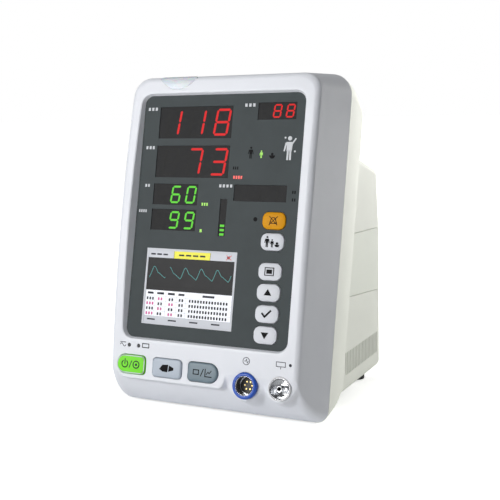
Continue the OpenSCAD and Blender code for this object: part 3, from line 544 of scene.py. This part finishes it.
def bezel_rings():
    rings = []
    shape = dict(corner=CORNER, sides=SIDES)
    low, high = PANEL[2], PANEL[3]
    # wall of the recess: its depth follows the crown, so each point finds its own rim
    for step in (0.0, 0.35, 0.7, 0.9, 1.0):
        ring = []
        for u, v in outline(PANEL[0], PANEL[1], low, high, PANEL_R, **shape):
            reach = PANEL_D + CROWN * bulge(v)
            out = (reach - 0.5) * step * RECESS_SLOPE
            away = from_rim(u, v)
            ring.append(slab(u + away.x * out, PANEL_D - (reach - 0.5) * step, v + away.y * out))
        rings.append(ring)
    # lip fillet and the face itself
    start = outline(PANEL[0], PANEL[1], low, high, PANEL_R, **shape)
    end = outline(-FACE_HALF_W + EDGE_R, FACE_HALF_W - EDGE_R, CHIN_TOP, FACE_TOP - EDGE_R,
                  4, 4, 13.5, 13.5, **shape)
    for k in range(FACE_STEPS + 1):
        t = k / FACE_STEPS
        ring = []
        for (u0, v0), (u1, v1) in zip(start, end):
            reach = PANEL_D + CROWN * bulge(v0)
            away = from_rim(u0, v0)
            grow = reach * RECESS_SLOPE + 0.35
            u0, v0 = u0 + away.x * grow, v0 + away.y * grow
            u, v = u0 + (u1 - u0) * t, v0 + (v1 - v0) * t
            b = bulge(v)
            sag = 0.12 if k == 0 else 0.0
            out = b * t ** 6 * (1 if u > 0 else -1) if abs(u) > 60 else 0
            ring.append(slab(u + out, raised(u, v, -CROWN * b) + sag, v))
        rings.append(ring)
    # side band and chin, as level slices
    heights = [27.6, 27.1, 26.5, 25.8, 25, 24.2, 23.4, 22.6, 21.8, 21, 20.2, 19.4, 18.7, 18.1,
               17.6, 17.2, 16.85, 16.5, 16.15, 15.8, 15.45, 15.1, 14.7, 14.2, 13.6, 12.8, 11.9,
               *range(11, 0, -1), 0.2, -0.6, -1.3, -1.9, -2.4]
    depths = [chin_depth(v) for v in heights] + [SEAM_D]
    for d in depths:
        rings.append(place_ring(
            outline(-FACE_HALF_W - SIDE_SLOPE * d + edge_inset(d),
                    FACE_HALF_W + SIDE_SLOPE * d - edge_inset(d), chin_height(d),
                    FACE_TOP + (SEAM_TOP - FACE_TOP) * d / SEAM_D - edge_inset(d),
                    4 + 5 * d / SEAM_D, None, 13.5 + 4 * d / SEAM_D, 13.5 + 4 * d / SEAM_D,
                    **shape), d))
    # seam edge and the inside of the shell
    inner_depths = [SEAM_D, 32, 25, 18, 12, 8, 5.4]
    for d in inner_depths:
        rings.append(place_ring(
            outline(-FACE_HALF_W - SIDE_SLOPE * d + WALL, FACE_HALF_W + SIDE_SLOPE * d - WALL,
                    chin_height(d) + WALL, FACE_TOP + (SEAM_TOP - FACE_TOP) * d / SEAM_D - WALL,
                    5, None, 12, 12, **shape), d, inner=True))
    back = outline(PANEL[0] - LEDGE, PANEL[1] + LEDGE, low - LEDGE, high + LEDGE, PANEL_R, **shape)
    rings.append([slab(u, LEDGE_D, v) for u, v in back])
    rings.append([slab(u, PANEL_D, v) for u, v in back])
    return rings


FRONT_KEY = (25.0, 14.1)
FRONT_KEY_V = 26.7
FRONT_KEY_U = (-58.9, -27.4, 2.9)
KEY_GAP = 0.45


def front_key_outline(i, grow=0.0):
    w, h = FRONT_KEY[0] / 2 + grow, FRONT_KEY[1] / 2 + grow
    full = h - 0.02
    r_left = full if i == 0 else 3 + grow
    r_right = full if i == 2 else 3 + grow
    u = FRONT_KEY_U[i]
    return outline(u - w, u + w, FRONT_KEY_V - h, FRONT_KEY_V + h, r_left, r_right, r_right,
                   r_left, corner=10)


SUPPLY_U = (-61.8, -53.5)
SUPPLY_V = 41.1
ALARM_U = -38.5
ALARM_V = 245.5


def spindle(half_l, swell):
    """The almond-shaped body of the alarm lens, lying along the upper front edge."""
    n, around = 28, 32
    rings = []
    for i in range(1, n):
        t = -1 + 2 * i / n
        r = swell * (1 - t * t)
        rings.append([slab(ALARM_U + half_l * t, 1 + r * math.cos(2 * math.pi * k / around),
                           ALARM_V + r * math.sin(2 * math.pi * k / around))
                      for k in range(around)])
    verts, faces = loft(rings)
    tips = [slab(ALARM_U - half_l, 1, ALARM_V), slab(ALARM_U + half_l, 1, ALARM_V)]
    verts = list(verts) + tips
    last = (n - 2) * around
    for k in range(around):
        k2 = (k + 1) % around
        faces.append((len(verts) - 2, k2, k))
        faces.append((len(verts) - 1, last + k, last + k2))
    return verts, faces


verts, faces = loft(bezel_rings(), closed_path=True)
bezel = piece("bezel_shell", verts, faces, "front", "case", ("front_bezel",))
holes = [prism_data(front_key_outline(i, KEY_GAP), -4, 12) for i in range(3)]
holes += [prism_data(circle(u, SUPPLY_V, 1.55, 32), -5, 10) for u in SUPPLY_U]
holes += [prism_data(circle(*SPO2, 9.8, 64), -4, 1.6), prism_data(circle(*SPO2, 7.95, 64), 1, 16)]
holes += [prism_data(circle(*NIBP, 8.8, 64), -4, 1.0), prism_data(circle(*NIBP, 7.95, 64), 0.5, 16)]
for h in holes:
    cut(bezel, cutter("hole", [h]))
cut(bezel, cutter("lens_hole", [spindle(16.6, 9.1)]))
bezel.data.materials.clear()
bezel.data.materials.append(MAT["front"])
shade(bezel, 32)

# ---- alarm lens -----------------------------------------------------------------------------


def envelope(name, grow):
    """Solid of the slab's front, closed, to trim the lens to the face."""
    rings = []
    shape = dict(corner=CORNER, sides=(10, 30, 60))
    for d in (0, 0.15, 0.4, 0.8, 1.3, 2, 3, 5, 8, 12, 16):
        inset = edge_inset(d) - grow
        ring = []
        for u, v in outline(-FACE_HALF_W - SIDE_SLOPE * d + inset,
                            FACE_HALF_W + SIDE_SLOPE * d - inset, 60,
                            FACE_TOP + (SEAM_TOP - FACE_TOP) * d / SEAM_D - inset,
                            4, None, 13.5, 13.5, **shape):
            ring.append(slab(u, d - grow - CROWN * bulge(v) * max(0, 1 - d / SEAM_D), v))
        rings.append(ring)
    front = [slab(u, -grow - CROWN * bulge(v), v) for u, v in
             outline(-70, 70, 80, 244 - EDGE_R, 4, None, 8, 8, **shape)]
    verts, faces = loft([front] + rings)
    n = len(front)
    return cutter(name, [(verts, faces + [tuple(range(n)),
                                          tuple(range(len(verts) - n, len(verts)))])])


lens_v, lens_f = spindle(16.5, 9.0)
lens = piece("alarm_lens_cover", lens_v, lens_f, "lens", "case", ("alarm_lens",))
trim = lens.modifiers.new("trim", "BOOLEAN")
trim.operation = "INTERSECT"
trim.solver = "EXACT"
trim.object = envelope("trim_tool", 0.25)
apply_modifiers(lens)
bpy.data.objects.remove(bpy.data.objects["trim_tool"])
lens.data.materials.clear()
lens.data.materials.append(MAT["lens"])
shade(lens, 40)

# ---- rear housing ---------------------------------------------------------------------------

cad_copy("rear_housing", "rear_shell", "rear", "case", 24)
cad_copy("recorder_bay_cover", "bay_cover", "cover", "case", 24)
cad_copy("battery_door", "door_shell", "rear", "door", 30)

# ---- marks and prints -----------------------------------------------------------------------


class Marks:
    """Collects flat raised marks of one material, in the slab frame, into one piece."""

    def __init__(self, height=0.08):
        self.parts = []
        self.height = height

    def add(self, points, d):
        """A plate whose back lies at depth d (a number, or a function of u and v)."""
        if callable(d):
            n = len(points)
            front = [slab(u, d(u, v) - self.height, v) for u, v in points]
            back = [slab(u, d(u, v) + 0.3, v) for u, v in points]
            faces = [tuple(range(n)), tuple(range(2 * n - 1, n - 1, -1))]
            faces += [(i, n + i, n + (i + 1) % n, (i + 1) % n) for i in range(n)]
            self.parts.append((front + back, faces))
        else:
            self.parts.append(prism_data(points, d - self.height, d))
        return self

    def box(self, left, right, low, high, d):
        return self.add([(left, low), (right, low), (right, high), (left, high)], d)

    def line(self, points, width, d, closed=False):
        """A stroke of a given width through points."""
        count = len(points)
        ends = count if closed else count - 1
        for i in range(ends):
            a, b = Vector(points[i]), Vector(points[(i + 1) % count])
            along = (b - a).normalized()
            across = Vector((-along.y, along.x)) * width / 2
            a2, b2 = a - along * width * 0.3, b + along * width * 0.3
            self.add([tuple(a2 - across), tuple(b2 - across), tuple(b2 + across),
                      tuple(a2 + across)], d)
        return self

    def ring(self, u, v, r, width, d, start=0, end=360, n=28):
        pts = arc(u, v, r, start, end, n)
        if end - start >= 360:
            pts = pts[:-1]
        return self.line(pts, width, d, closed=end - start >= 360)

    def dot(self, u, v, r, d):
        return self.add(circle(u, v, r, 20), d)

    def make(self, name, mat, body="case", slot="panel_print"):
        verts, faces = join(self.parts)
        return piece(name, verts, faces, mat, body, ())


# ---- display windows and digits -------------------------------------------------------------

WINDOWS = {
    "sys_display": (-53.3, 9.4, 199.8, 224.1),
    "dia_display": (-53.4, 9.3, 170, 194.3),
    "pr_display": (-53.6, -14.8, 149.1, 165.1),
    "spo2_display": (-53.6, -14.8, 129.7, 145.7),
    "temp_display": (15.3, 57.6, 153.2, 165.4),
    "map_display": (29.9, 60.6, 213.2, 225.9),
    "pulse_bargraph": (4.7, 10.4, 127, 154.5),
}
WINDOW_D = 2.5
SEGMENTS = {0: "abcdef", 1: "bc", 2: "abged", 3: "abgcd", 4: "fgbc", 5: "afgcd", 6: "afgedc",
            7: "abc", 8: "abcdefg", 9: "abcfgd"}
SLANT = 0.13


def digit(lit, unlit, value, u, v, w, h, thick):
    """Seven-segment digit with its lower left corner at u, v; unlit strokes go to unlit."""
    gap = thick * 0.12
    half = h / 2
    t = thick / 2

    def bar(a, b):
        """Bar with pointed ends between two places of the upright digit."""
        a, b = Vector(a), Vector(b)
        along = (b - a).normalized()
        across = Vector((-along.y, along.x)) * t
        a, b = a + along * gap, b - along * gap
        points = [a, a + along * t - across, b - along * t - across, b, b - along * t + across,
                  a + along * t + across]
        return [(u + p.x + p.y * SLANT, v + p.y) for p in points]

    places = {
        "a": ((t, h - t), (w - t, h - t)), "b": ((w - t, h - t), (w - t, half)),
        "c": ((w - t, half), (w - t, t)), "d": ((t, t), (w - t, t)),
        "e": ((t, half), (t, t)), "f": ((t, h - t), (t, half)), "g": ((t, half), (w - t, half)),
    }
    on = "" if value is None else SEGMENTS[value]
    for key, (a, b) in places.items():
        (lit if key in on else unlit).add(bar(a, b), WINDOW_D)


# values, height and width of a digit, stroke, colour
DISPLAYS = {
    "sys_display": ((1, 1, 8), 20.3, 12.3, 1.75, "red"),
    "dia_display": ((None, 7, 3), 20.6, 12.3, 1.75, "red"),
    "map_display": ((None, 8, 8), 10.0, 6.5, 1.15, "red"),
    "pr_display": ((None, 6, 0), 13.3, 8.3, 1.45, "green"),
    "spo2_display": ((None, 9, 9), 13.3, 8.3, 1.45, "green"),
    "temp_display": ((None, None, None), 10.0, 6.5, 1.15, "green"),
}
DIGIT_MARGIN = 1.1
for node, (values, h, w, thick, colour) in DISPLAYS.items():
    left, right, low, high = WINDOWS[node]
    pitch = (right - left) / 3
    lit, unlit = Marks(0.06), Marks(0.03)
    for k, value in enumerate(values):
        u = right - DIGIT_MARGIN - SLANT * h - w - pitch * (2 - k)
        digit(lit, unlit, value, u, low + (high - low - h) / 2, w, h, thick)
    stem = node.replace("_display", "")
    if lit.parts:
        lit.make(stem + "_lit_segments", colour, slot="lamp")
    unlit.make(stem + "_unlit_segments", "unlit", slot="display_black")

left, right, low, high = WINDOWS["pulse_bargraph"]
lit, unlit = Marks(0.06), Marks(0.03)
for k in range(8):
    v = low + 0.5 + k * 3.2
    (lit if k < 3 else unlit).box(left + 1.1, right - 1.1, v, v + 1.7, WINDOW_D)
lit.make("bargraph_lit", "green", slot="lamp")
unlit.make("bargraph_unlit", "unlit", slot="display_black")

# ---- colour display -------------------------------------------------------------------------

LCD = (-54.9, 22.1, 58.1, 115.8)


def lcd_picture():
    left, right, low, high = LCD
    d = WINDOW_D
    border = Marks(0.3)
    gap, b = 0.1, 1.7
    for box in ((left + gap, right - gap, low + gap, low + b),
                (left + gap, right - gap, high - b, high - gap),
                (left + gap, left + b, low + b, high - b),
                (right - b, right - gap, low + b, high - b)):
        border.box(*box, d)
    border.make("lcd_border", "lcd_frame", slot="lcd_face")
    left, right, low, high = left + b, right - b, low + b, high - b
    w = right - left
    top, table_top, header, foot = high - 5.4, 84.0, 79.5, 64.5
    black, white, grey = Marks(0.05), Marks(0.06), Marks(0.07)
    yellow, teal, magenta, red, ink = Marks(0.08), Marks(0.1), Marks(0.1), Marks(0.12), Marks(0.1)
    black.box(left, right, low, high, d)
    grey.box(left, left + w * 0.3, top, high, d)
    yellow.box(left + w * 0.3 + 0.3, left + w * 0.72, top, high, d)
    grey.box(left + w * 0.72 + 0.3, right, top, high, d)
    for k in range(3):
        ink.box(left + 2 + 5.4 * k, left + 6 + 5.4 * k, top + 2, top + 3.2, d)
    for k in range(4):
        ink.box(left + w * 0.36 + 6 * k, left + w * 0.36 + 4.4 + 6 * k, top + 2, top + 3.2, d)
    # speaker sign with a cross
    su, sv = right - 5, (top + high) / 2
    ink.add([(su - 1.6, sv - 0.6), (su - 0.8, sv - 0.6), (su + 0.4, sv - 1.5), (su + 0.4, sv + 1.5),
             (su - 0.8, sv + 0.6), (su - 1.6, sv + 0.6)], d)
    red.line([(su - 2, sv - 1.6), (su + 2, sv + 1.6)], 0.5, d)
    red.line([(su - 2, sv + 1.6), (su + 2, sv - 1.6)], 0.5, d)
    # pulse wave: a quick rise, then a slow fall with a small notch, and a gap where it is redrawn
    wave_low, wave_h, beats, steps = 93.5, 8.5, 5.15, 220
    span = w - 4
    shape = ((0, 0), (0.08, 0.25), (0.24, 0.95), (0.3, 1), (0.36, 0.93), (0.55, 0.45),
             (0.62, 0.42), (1, 0))
    points = []
    for i in range(steps + 1):
        x = i / steps * beats
        phase = x - math.floor(x)
        y = float(np.interp(phase, [p[0] for p in shape], [p[1] for p in shape]))
        points.append((left + 2 + span * i / steps, wave_low + wave_h * y))
    redrawn = left + 2 + span * 0.2
    teal.line([q for q in points if q[0] < redrawn], 0.35, d)
    teal.line([q for q in points if q[0] > redrawn + 3.5], 0.35, d)
    # table of stored readings: magenta marks the pulse rows' values
    edges = [left + 0.4 + (w - 0.8) * f for f in (0, 0.11, 0.24, 0.37, 0.48, 1)]
    row_h = (header - foot) / 4
    white.box(left, right, foot, table_top, d)
    for k in range(5):
        mid, reach = (edges[k] + edges[k + 1]) / 2, min(5.0, (edges[k + 1] - edges[k]) * 0.32)
        ink.box(mid - reach, mid + reach, header + 1.5, header + 3.1, d)
        grey.box(edges[k] - 0.12, edges[k] + 0.12, foot, table_top, d)
        for r in range(4):
            v = header - row_h * (r + 0.5)
            parts = (3, 2, 2, 2, 14)[k]
            size = min(1.7, (edges[k + 1] - edges[k]) * 0.66 / parts)
            pen = magenta if (k == 1 and r % 2 == 0) or (k in (0, 2) and r % 2) else ink
            for j in range(parts):
                c = mid + (j - (parts - 1) / 2) * size * 1.4
                pen.box(c - size * 0.42, c + size * 0.42, v - 1.05, v + 1.05, d)
    for r in range(5):
        grey.box(left, right, header - row_h * r - 0.1, header - row_h * r + 0.1, d)
    grey.box(left, right, low, foot, d)
    for k in range(4):
        ink.box(left + 3 + k * w * 0.25, left + 10 + k * w * 0.25, low + 1.6, low + 2.7, d)
    black.make("lcd_black", "lcd_black", slot="lcd_face")
    white.make("lcd_white", "lcd_white", slot="lcd_face")
    grey.make("lcd_bars", "lcd_bar", slot="lcd_face")
    yellow.make("lcd_yellow", "ink_yellow", slot="lcd_face")
    teal.make("lcd_wave", "ink_teal", slot="lcd_face")
    magenta.make("lcd_magenta", "ink_magenta", slot="lcd_face")
    red.make("lcd_red", "ink_red", slot="lcd_face")
    ink.make("lcd_figures", "ink_dark", slot="lcd_face")


lcd_picture()

# ---- prints on the panel --------------------------------------------------------------------


def person(marks, u, v, h, d, arm_up=False):
    """Standing figure, its feet at v."""
    k = h / 24
    marks.dot(u, v + h - 2.2 * k, 2.2 * k, d)
    marks.add([(u - 3.6 * k, v + 18.2 * k), (u + 3.6 * k, v + 18.2 * k), (u + 2.6 * k, v + 9 * k),
               (u - 2.6 * k, v + 9 * k)], d)
    marks.line([(u - 1.3 * k, v + 9.6 * k), (u - 1.5 * k, v + 0.8 * k)], 2 * k, d)
    marks.line([(u + 1.3 * k, v + 9.6 * k), (u + 1.5 * k, v + 0.8 * k)], 2 * k, d)
    marks.line([(u - 3.8 * k, v + 17 * k), (u - 5.2 * k, v + 9.5 * k)], 1.5 * k, d)
    if arm_up:
        marks.line([(u + 3.4 * k, v + 17.4 * k), (u + 6.4 * k, v + 21.5 * k)], 1.5 * k, d)
    else:
        marks.line([(u + 3.8 * k, v + 17 * k), (u + 5.2 * k, v + 9.5 * k)], 1.5 * k, d)


P = PANEL_D
white, black, lime, red = Marks(), Marks(), Marks(), Marks()


def blocks(pen, u, v, width, count, h=2.2):
    """A row of plain blocks where the device has a word."""
    pitch = width / count
    for k in range(count):
        left = u - width / 2 + pitch * k
        pen.box(left + pitch * 0.2, left + pitch * 0.8, v - h / 2, v + h / 2, P)


person(white, 57, 183.5, 17.5, P, arm_up=True)
white.dot(53.4, 199.9, 0.7, P).dot(61.5, 190, 0.7, P)
person(black, 26.6, 184.6, 8.8, P)
person(lime, 35.2, 185, 5.6, P)
black.dot(43.9, 187.9, 1, P)
black.add(arc(43.9, 187, 2.3, 180, 360, 10), P)
for u, v, width in ((-60.1, 222.6, 9.4), (-59.6, 192.7, 8.6), (23.2, 224.2, 9.6)):
    blocks(white, u, v, width, 3, 2.4)
blocks(white, -59.4, 163.5, 5, 2)
blocks(white, -61.7, 143.9, 7.5, 4)
blocks(white, 8.2, 164.2, 12, 4)
blocks(black, 15.2, 177.6, 5, 3)
blocks(red, 17.5, 170.7, 8, 4)
blocks(lime, -8.2, 150.2, 6, 3)
blocks(lime, -9.8, 130.4, 3, 1)
blocks(black, 63.2, 160.6, 3.4, 2)
blocks(black, 63.4, 155.1, 3.4, 2)
black.dot(34.5, 140.4, 1.6, P)
white.make("panel_white_prints", "ink_white")
black.make("panel_black_prints", "ink_black")
lime.make("panel_lit_marks", "lime_lamp", slot="lamp")
red.make("panel_red_mark", "red_lamp", slot="lamp")

# marks of the mains and battery supply, on the face beside the lamps
ink = Marks(0.05)


def face_at(u, v):
    return face_depth(v)


def wave_mark(u, v):
    pts = [(u - 2.6 + 5.2 * i / 14, v + 1.1 * math.sin(2 * math.pi * i / 14)) for i in range(15)]
    ink.line(pts, 0.5, face_at)


wave_mark(-67.4, 40.8)
ink.box(-70, -64.8, 42.6, 43.1, face_at)
ink.line([(-50, 40.2), (-44.4, 40.2), (-44.4, 43.1), (-50, 43.1)], 0.7, face_at, closed=True)
# signs above the sockets
ink.ring(37.5, 38.5, 2.6, 0.45, face_at)
ink.line([(35.9, 38.5), (37, 38.5), (37.6, 40), (38.3, 37.2), (39.1, 38.5)], 0.4, face_at)
ink.line([(61, 37.2), (61, 40.4), (68, 40.4), (68, 37.2)], 0.5, face_at, closed=True)
ink.line([(64.5, 37.2), (64.5, 35.6)], 0.5, face_at)
ink.dot(71.8, 38.8, 1.1, face_at)
ink.make("face_prints", "ink_dark", slot="panel_print")

# ---- rubber keys ----------------------------------------------------------------------------

KEY_COLUMN = 49.6
RUBBER = (18.1, 12.3)


def rubber_depth(u, v, cv):
    """Domed top of a rubber key."""
    x, y = abs(u - KEY_COLUMN) / (RUBBER[0] / 2), abs(v - cv) / (RUBBER[1] / 2)
    return 0.2 + 0.85 * min(1.0, (x ** 2.6 + y ** 2.6)) ** 1.5


def rubber_key(node, cv, mat):
    rings = []
    w, h = RUBBER[0] / 2, RUBBER[1] / 2
    for f in (0.02, 0.15, 0.3, 0.45, 0.6, 0.72, 0.82, 0.9, 0.96):
        pts = outline(KEY_COLUMN - w * f, KEY_COLUMN + w * f, cv - h * f, cv + h * f, 4.8 * f,
                      corner=8, sides=(6, 4, 6))
        rings.append([slab(u, rubber_depth(u, v, cv), v) for u, v in pts])
    for f, d in ((0.99, 1.25), (1.0, 1.6), (1.0, 4.4)):
        pts = outline(KEY_COLUMN - w * f, KEY_COLUMN + w * f, cv - h * f, cv + h * f, 4.8 * f,
                      corner=8, sides=(6, 4, 6))
        rings.append([slab(u, d, v) for u, v in pts])
    for grow, d in ((1, 4.4), (1, 5.4), (-3, 5.4), (-3, 8.2)):
        pts = outline(KEY_COLUMN - w - grow, KEY_COLUMN + w + grow, cv - h - grow, cv + h + grow,
                      max(1.5, 4.8 + grow), corner=8, sides=(6, 4, 6))
        rings.append([slab(u, d, v) for u, v in pts])
    verts, faces = loft(rings, caps=True)
    return piece(node + "_rubber", verts, faces, mat, node + "_cap", (node,), 50)


RUBBER_KEYS = (
    ("key_alarm_silence", 139.7, "key_orange", "key_orange"),
    ("key_patient", 124.5, "key_grey", "key_grey"),
    ("key_menu", 103.2, "key_grey", "key_grey"),
    ("key_up", 88.2, "key_grey", "key_grey"),
    ("key_confirm", 72.9, "key_grey", "key_grey"),
    ("key_down", 57.9, "key_grey", "key_grey"),
)
for node, cv, mat, slot in RUBBER_KEYS:
    rubber_key(node, cv, mat)

K = KEY_COLUMN


def on_key(cv):
    return lambda u, v: rubber_depth(u, v, cv)


def frame_mark(marks, u, v, half_w, half_h, width, d):
    return marks.line([(u - half_w, v - half_h), (u + half_w, v - half_h), (u + half_w, v + half_h),
                       (u - half_w, v + half_h)], width, d, closed=True)


def arrow(marks, v, way, d):
    return marks.add([(K - 3 * way, v - 2 * way), (K + 3 * way, v - 2 * way),
                      (K, v + 2.6 * way)], d)


ICONS = {node: Marks(0.2) for node, *_ in RUBBER_KEYS}
AT = {node: (cv, on_key(cv)) for node, cv, *_ in RUBBER_KEYS}
icon, (c, top) = ICONS["key_alarm_silence"], AT["key_alarm_silence"]
icon.line(arc(K, c + 0.4, 1.9, 0, 180, 12) + [(K - 2.7, c - 2), (K + 2.7, c - 2)], 0.45, top,
          closed=True)
icon.line([(K - 3.2, c - 3), (K + 3.2, c + 3)], 0.45, top)
icon.line([(K - 3.2, c + 3), (K + 3.2, c - 3)], 0.45, top)
icon, (c, top) = ICONS["key_patient"], AT["key_patient"]
person(icon, K - 3.6, c - 3.9, 8, top)
person(icon, K + 0.4, c - 3.9, 5.8, top)
icon.dot(K + 4.3, c - 1, 0.9, top)
icon.add(arc(K + 4.3, c - 1.9, 1.8, 180, 360, 8), top)
icon, (c, top) = ICONS["key_menu"], AT["key_menu"]
frame_mark(icon, K, c, 3.4, 2.7, 0.6, top)
icon.box(K - 2.2, K + 2.2, c - 1.5, c + 1.5, top)
arrow(ICONS["key_up"], AT["key_up"][0], 1, AT["key_up"][1])
arrow(ICONS["key_down"], AT["key_down"][0], -1, AT["key_down"][1])
icon, (c, top) = ICONS["key_confirm"], AT["key_confirm"]
icon.line([(K - 3.2, c + 0.4), (K - 1, c - 2), (K + 3.4, c + 2.6)], 1.3, top)
for node, icon in ICONS.items():
    icon.make(node + "_icon", "ink_black", node + "_cap")

# ---- front keys -----------------------------------------------------------------------------

FRONT_D = -1.6


def front_key(i, node, mat):
    centre = (FRONT_KEY_U[i], FRONT_KEY_V)
    rings = []
    for inset, d in ((6.8, -1.60), (5, -1.60), (3, -1.56), (1.6, -1.46), (0.9, -1.32), (0.4, -1.05),
                     (0.12, -0.7), (0, -0.2), (0, 3.4), (-0.7, 3.4), (-0.7, 4.4), (4.2, 4.4),
                     (4.2, 6.6)):
        w, h = FRONT_KEY[0] / 2 - inset, FRONT_KEY[1] / 2 - inset
        full = max(0.12, h - 0.02)
        small = max(0.1, min(full, 3 - inset * 0.6))
        r_left = full if i == 0 else small
        r_right = full if i == 2 else small
        pts = outline(centre[0] - w, centre[0] + w, centre[1] - h, centre[1] + h, r_left, r_right,
                      r_right, r_left, corner=10, sides=(6, 3, 6))
        rings.append([slab(u, d, v) for u, v in pts])
    verts, faces = loft(rings, caps=True)
    return piece(node + "_cover", verts, faces, mat, node + "_cap", (node,), 50)


front_key(0, "key_power", "key_lime")
front_key(1, "key_nibp", "key_pale")
front_key(2, "key_trend", "key_slate")

D = FRONT_D
V = FRONT_KEY_V

mark = Marks(0.05)
mark.line(front_key_outline(0, -0.95), 1.25, -1.3, closed=True)
mark.make("key_power_border", "ink_white", "key_power_cap", "key_lime")
mark = Marks(0.05)
u = FRONT_KEY_U[0]
mark.ring(u - 5, V, 2.6, 0.8, D, 125, 415)
mark.line([(u - 5, V), (u - 5, V + 3.6)], 0.8, D)
mark.line([(u - 1, V - 2.6), (u + 1, V + 2.6)], 0.7, D)
mark.ring(u + 5, V, 2.6, 0.8, D)
mark.dot(u + 5, V, 1, D)
mark.make("key_power_icon", "ink_dark", "key_power_cap", "key_lime")
mark = Marks(0.05)
u = FRONT_KEY_U[1]
mark.add([(u - 6, V - 1), (u - 3.4, V + 2.4), (u + 1.6, V + 2.8), (u + 1.2, V - 2.8),
          (u - 3, V - 2.6)], D)
mark.add([(u + 2.2, V + 2.4), (u + 6.2, V + 0.8), (u + 6.2, V - 1), (u + 1.9, V - 2.4)], D)
mark.make("key_nibp_icon", "ink_black", "key_nibp_cap", "key_pale")
mark = Marks(0.05)
u = FRONT_KEY_U[2]
frame_mark(mark, u - 5, V, 2.2, 1.6, 0.7, D)
mark.line([(u - 1, V - 2.6), (u + 1, V + 2.6)], 0.7, D)
mark.line([(u + 2.6, V + 2.8), (u + 2.6, V - 2.6), (u + 8, V - 2.6)], 0.7, D)
mark.line([(u + 3.6, V - 1), (u + 5, V + 0.8), (u + 6, V - 0.2), (u + 7.6, V + 2)], 0.6, D)
mark.make("key_trend_icon", "ink_black", "key_trend_cap", "key_slate")

# ---- sockets --------------------------------------------------------------------------------

lathe("oxygen_flange", *SPO2, fillet([(7.12, 1.6), (9.65, 1.6, 0.3), (9.65, -1.0, 1.5),
                                     (8.6, -1.8, 0.8), (7.12, -1.75, 0.25)], 0.2), "blue", "case",
      ("spo2_flange",), "blue_plastic")
lathe("oxygen_shell", *SPO2, fillet([(6.5, 6), (6.5, -0.8, 0.5), (6.9, -1.3, 0.2), (7.1, -1.2, 0.1),
                                    (7.1, 1.65), (7.8, 1.65), (7.8, 20), (6.2, 20), (6.2, 6)],
                                   0.05), "nickel", "case", ("spo2_shell",), "nickel")
lathe("cuff_rim", *NIBP, fillet([(7.82, 1), (8.65, 1), (8.65, -0.4, 0.3), (8.3, -0.7, 0.2),
                                 (7.82, -0.65, 0.2)], 0.1), "white", "case", ("nibp_rim",),
      "white_plastic")
lathe("cuff_cup", *NIBP, fillet([(7, 11), (7, 0.3, 0.6), (7.5, -0.2, 0.3), (7.8, 0, 0.2), (7.8, 18),
                                 (2.62, 18), (2.62, 11)], 0.05), "nickel", "case", ("nibp_cup",),
      "nickel")
lathe("cuff_nipple", *NIBP, fillet([(1.3, 26), (1.3, -0.3, 0.25), (2.2, -0.5, 0.3), (2.6, 0.3, 0.4),
                                    (2.6, 1.8, 0.15), (2.0, 2.0, 0.1), (2.0, 2.9, 0.1),
                                    (2.6, 3.1, 0.15), (2.6, 8.4), (3.6, 8.4, 0.2), (3.6, 11, 0.2),
                                    (2.6, 11), (2.6, 26)], 0.05), "nickel", "case",
      ("nibp_nipple",), "nickel")

# ---- CAD nodes that keep their shape --------------------------------------------------------

CARRIED = {
    "panel": ("front_panel",),
    "window": ("sys_display", "dia_display", "map_display", "pr_display", "spo2_display",
               "temp_display", "pulse_bargraph"),
    "lcd_black": ("lcd_module",),
    "lime_lamp": ("icon_lamps",),
    "board": ("display_board", "key_board", "alarm_lamp_board", "main_board", "spo2_board",
              "power_supply"),
    "black": ("key_switches", "supply_lamps", "ac_inlet", "fuse_drawer", "pump_head", "speaker"),
    "insert": ("spo2_insert",),
    "brass": ("spo2_contacts", "mount_inserts", "equipotential_stud", "pump_rotor"),
    "steel": ("socket_nuts", "chassis_plate", "pump_motor", "valve_block", "dump_valve_plunger",
              "bleed_valve_plunger", "case_screws", "board_screws", "door_hinge_pin"),
    "white": ("network_socket", "battery_tray"),
    "battery": ("battery_pack",),
    "rubber": ("rubber_feet",),
    "hose": ("air_hoses",),
}
for key, nodes in CARRIED.items():
    for n in nodes:
        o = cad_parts[n]
        o.data.materials.clear()
        o.data.materials.append(MAT[key])
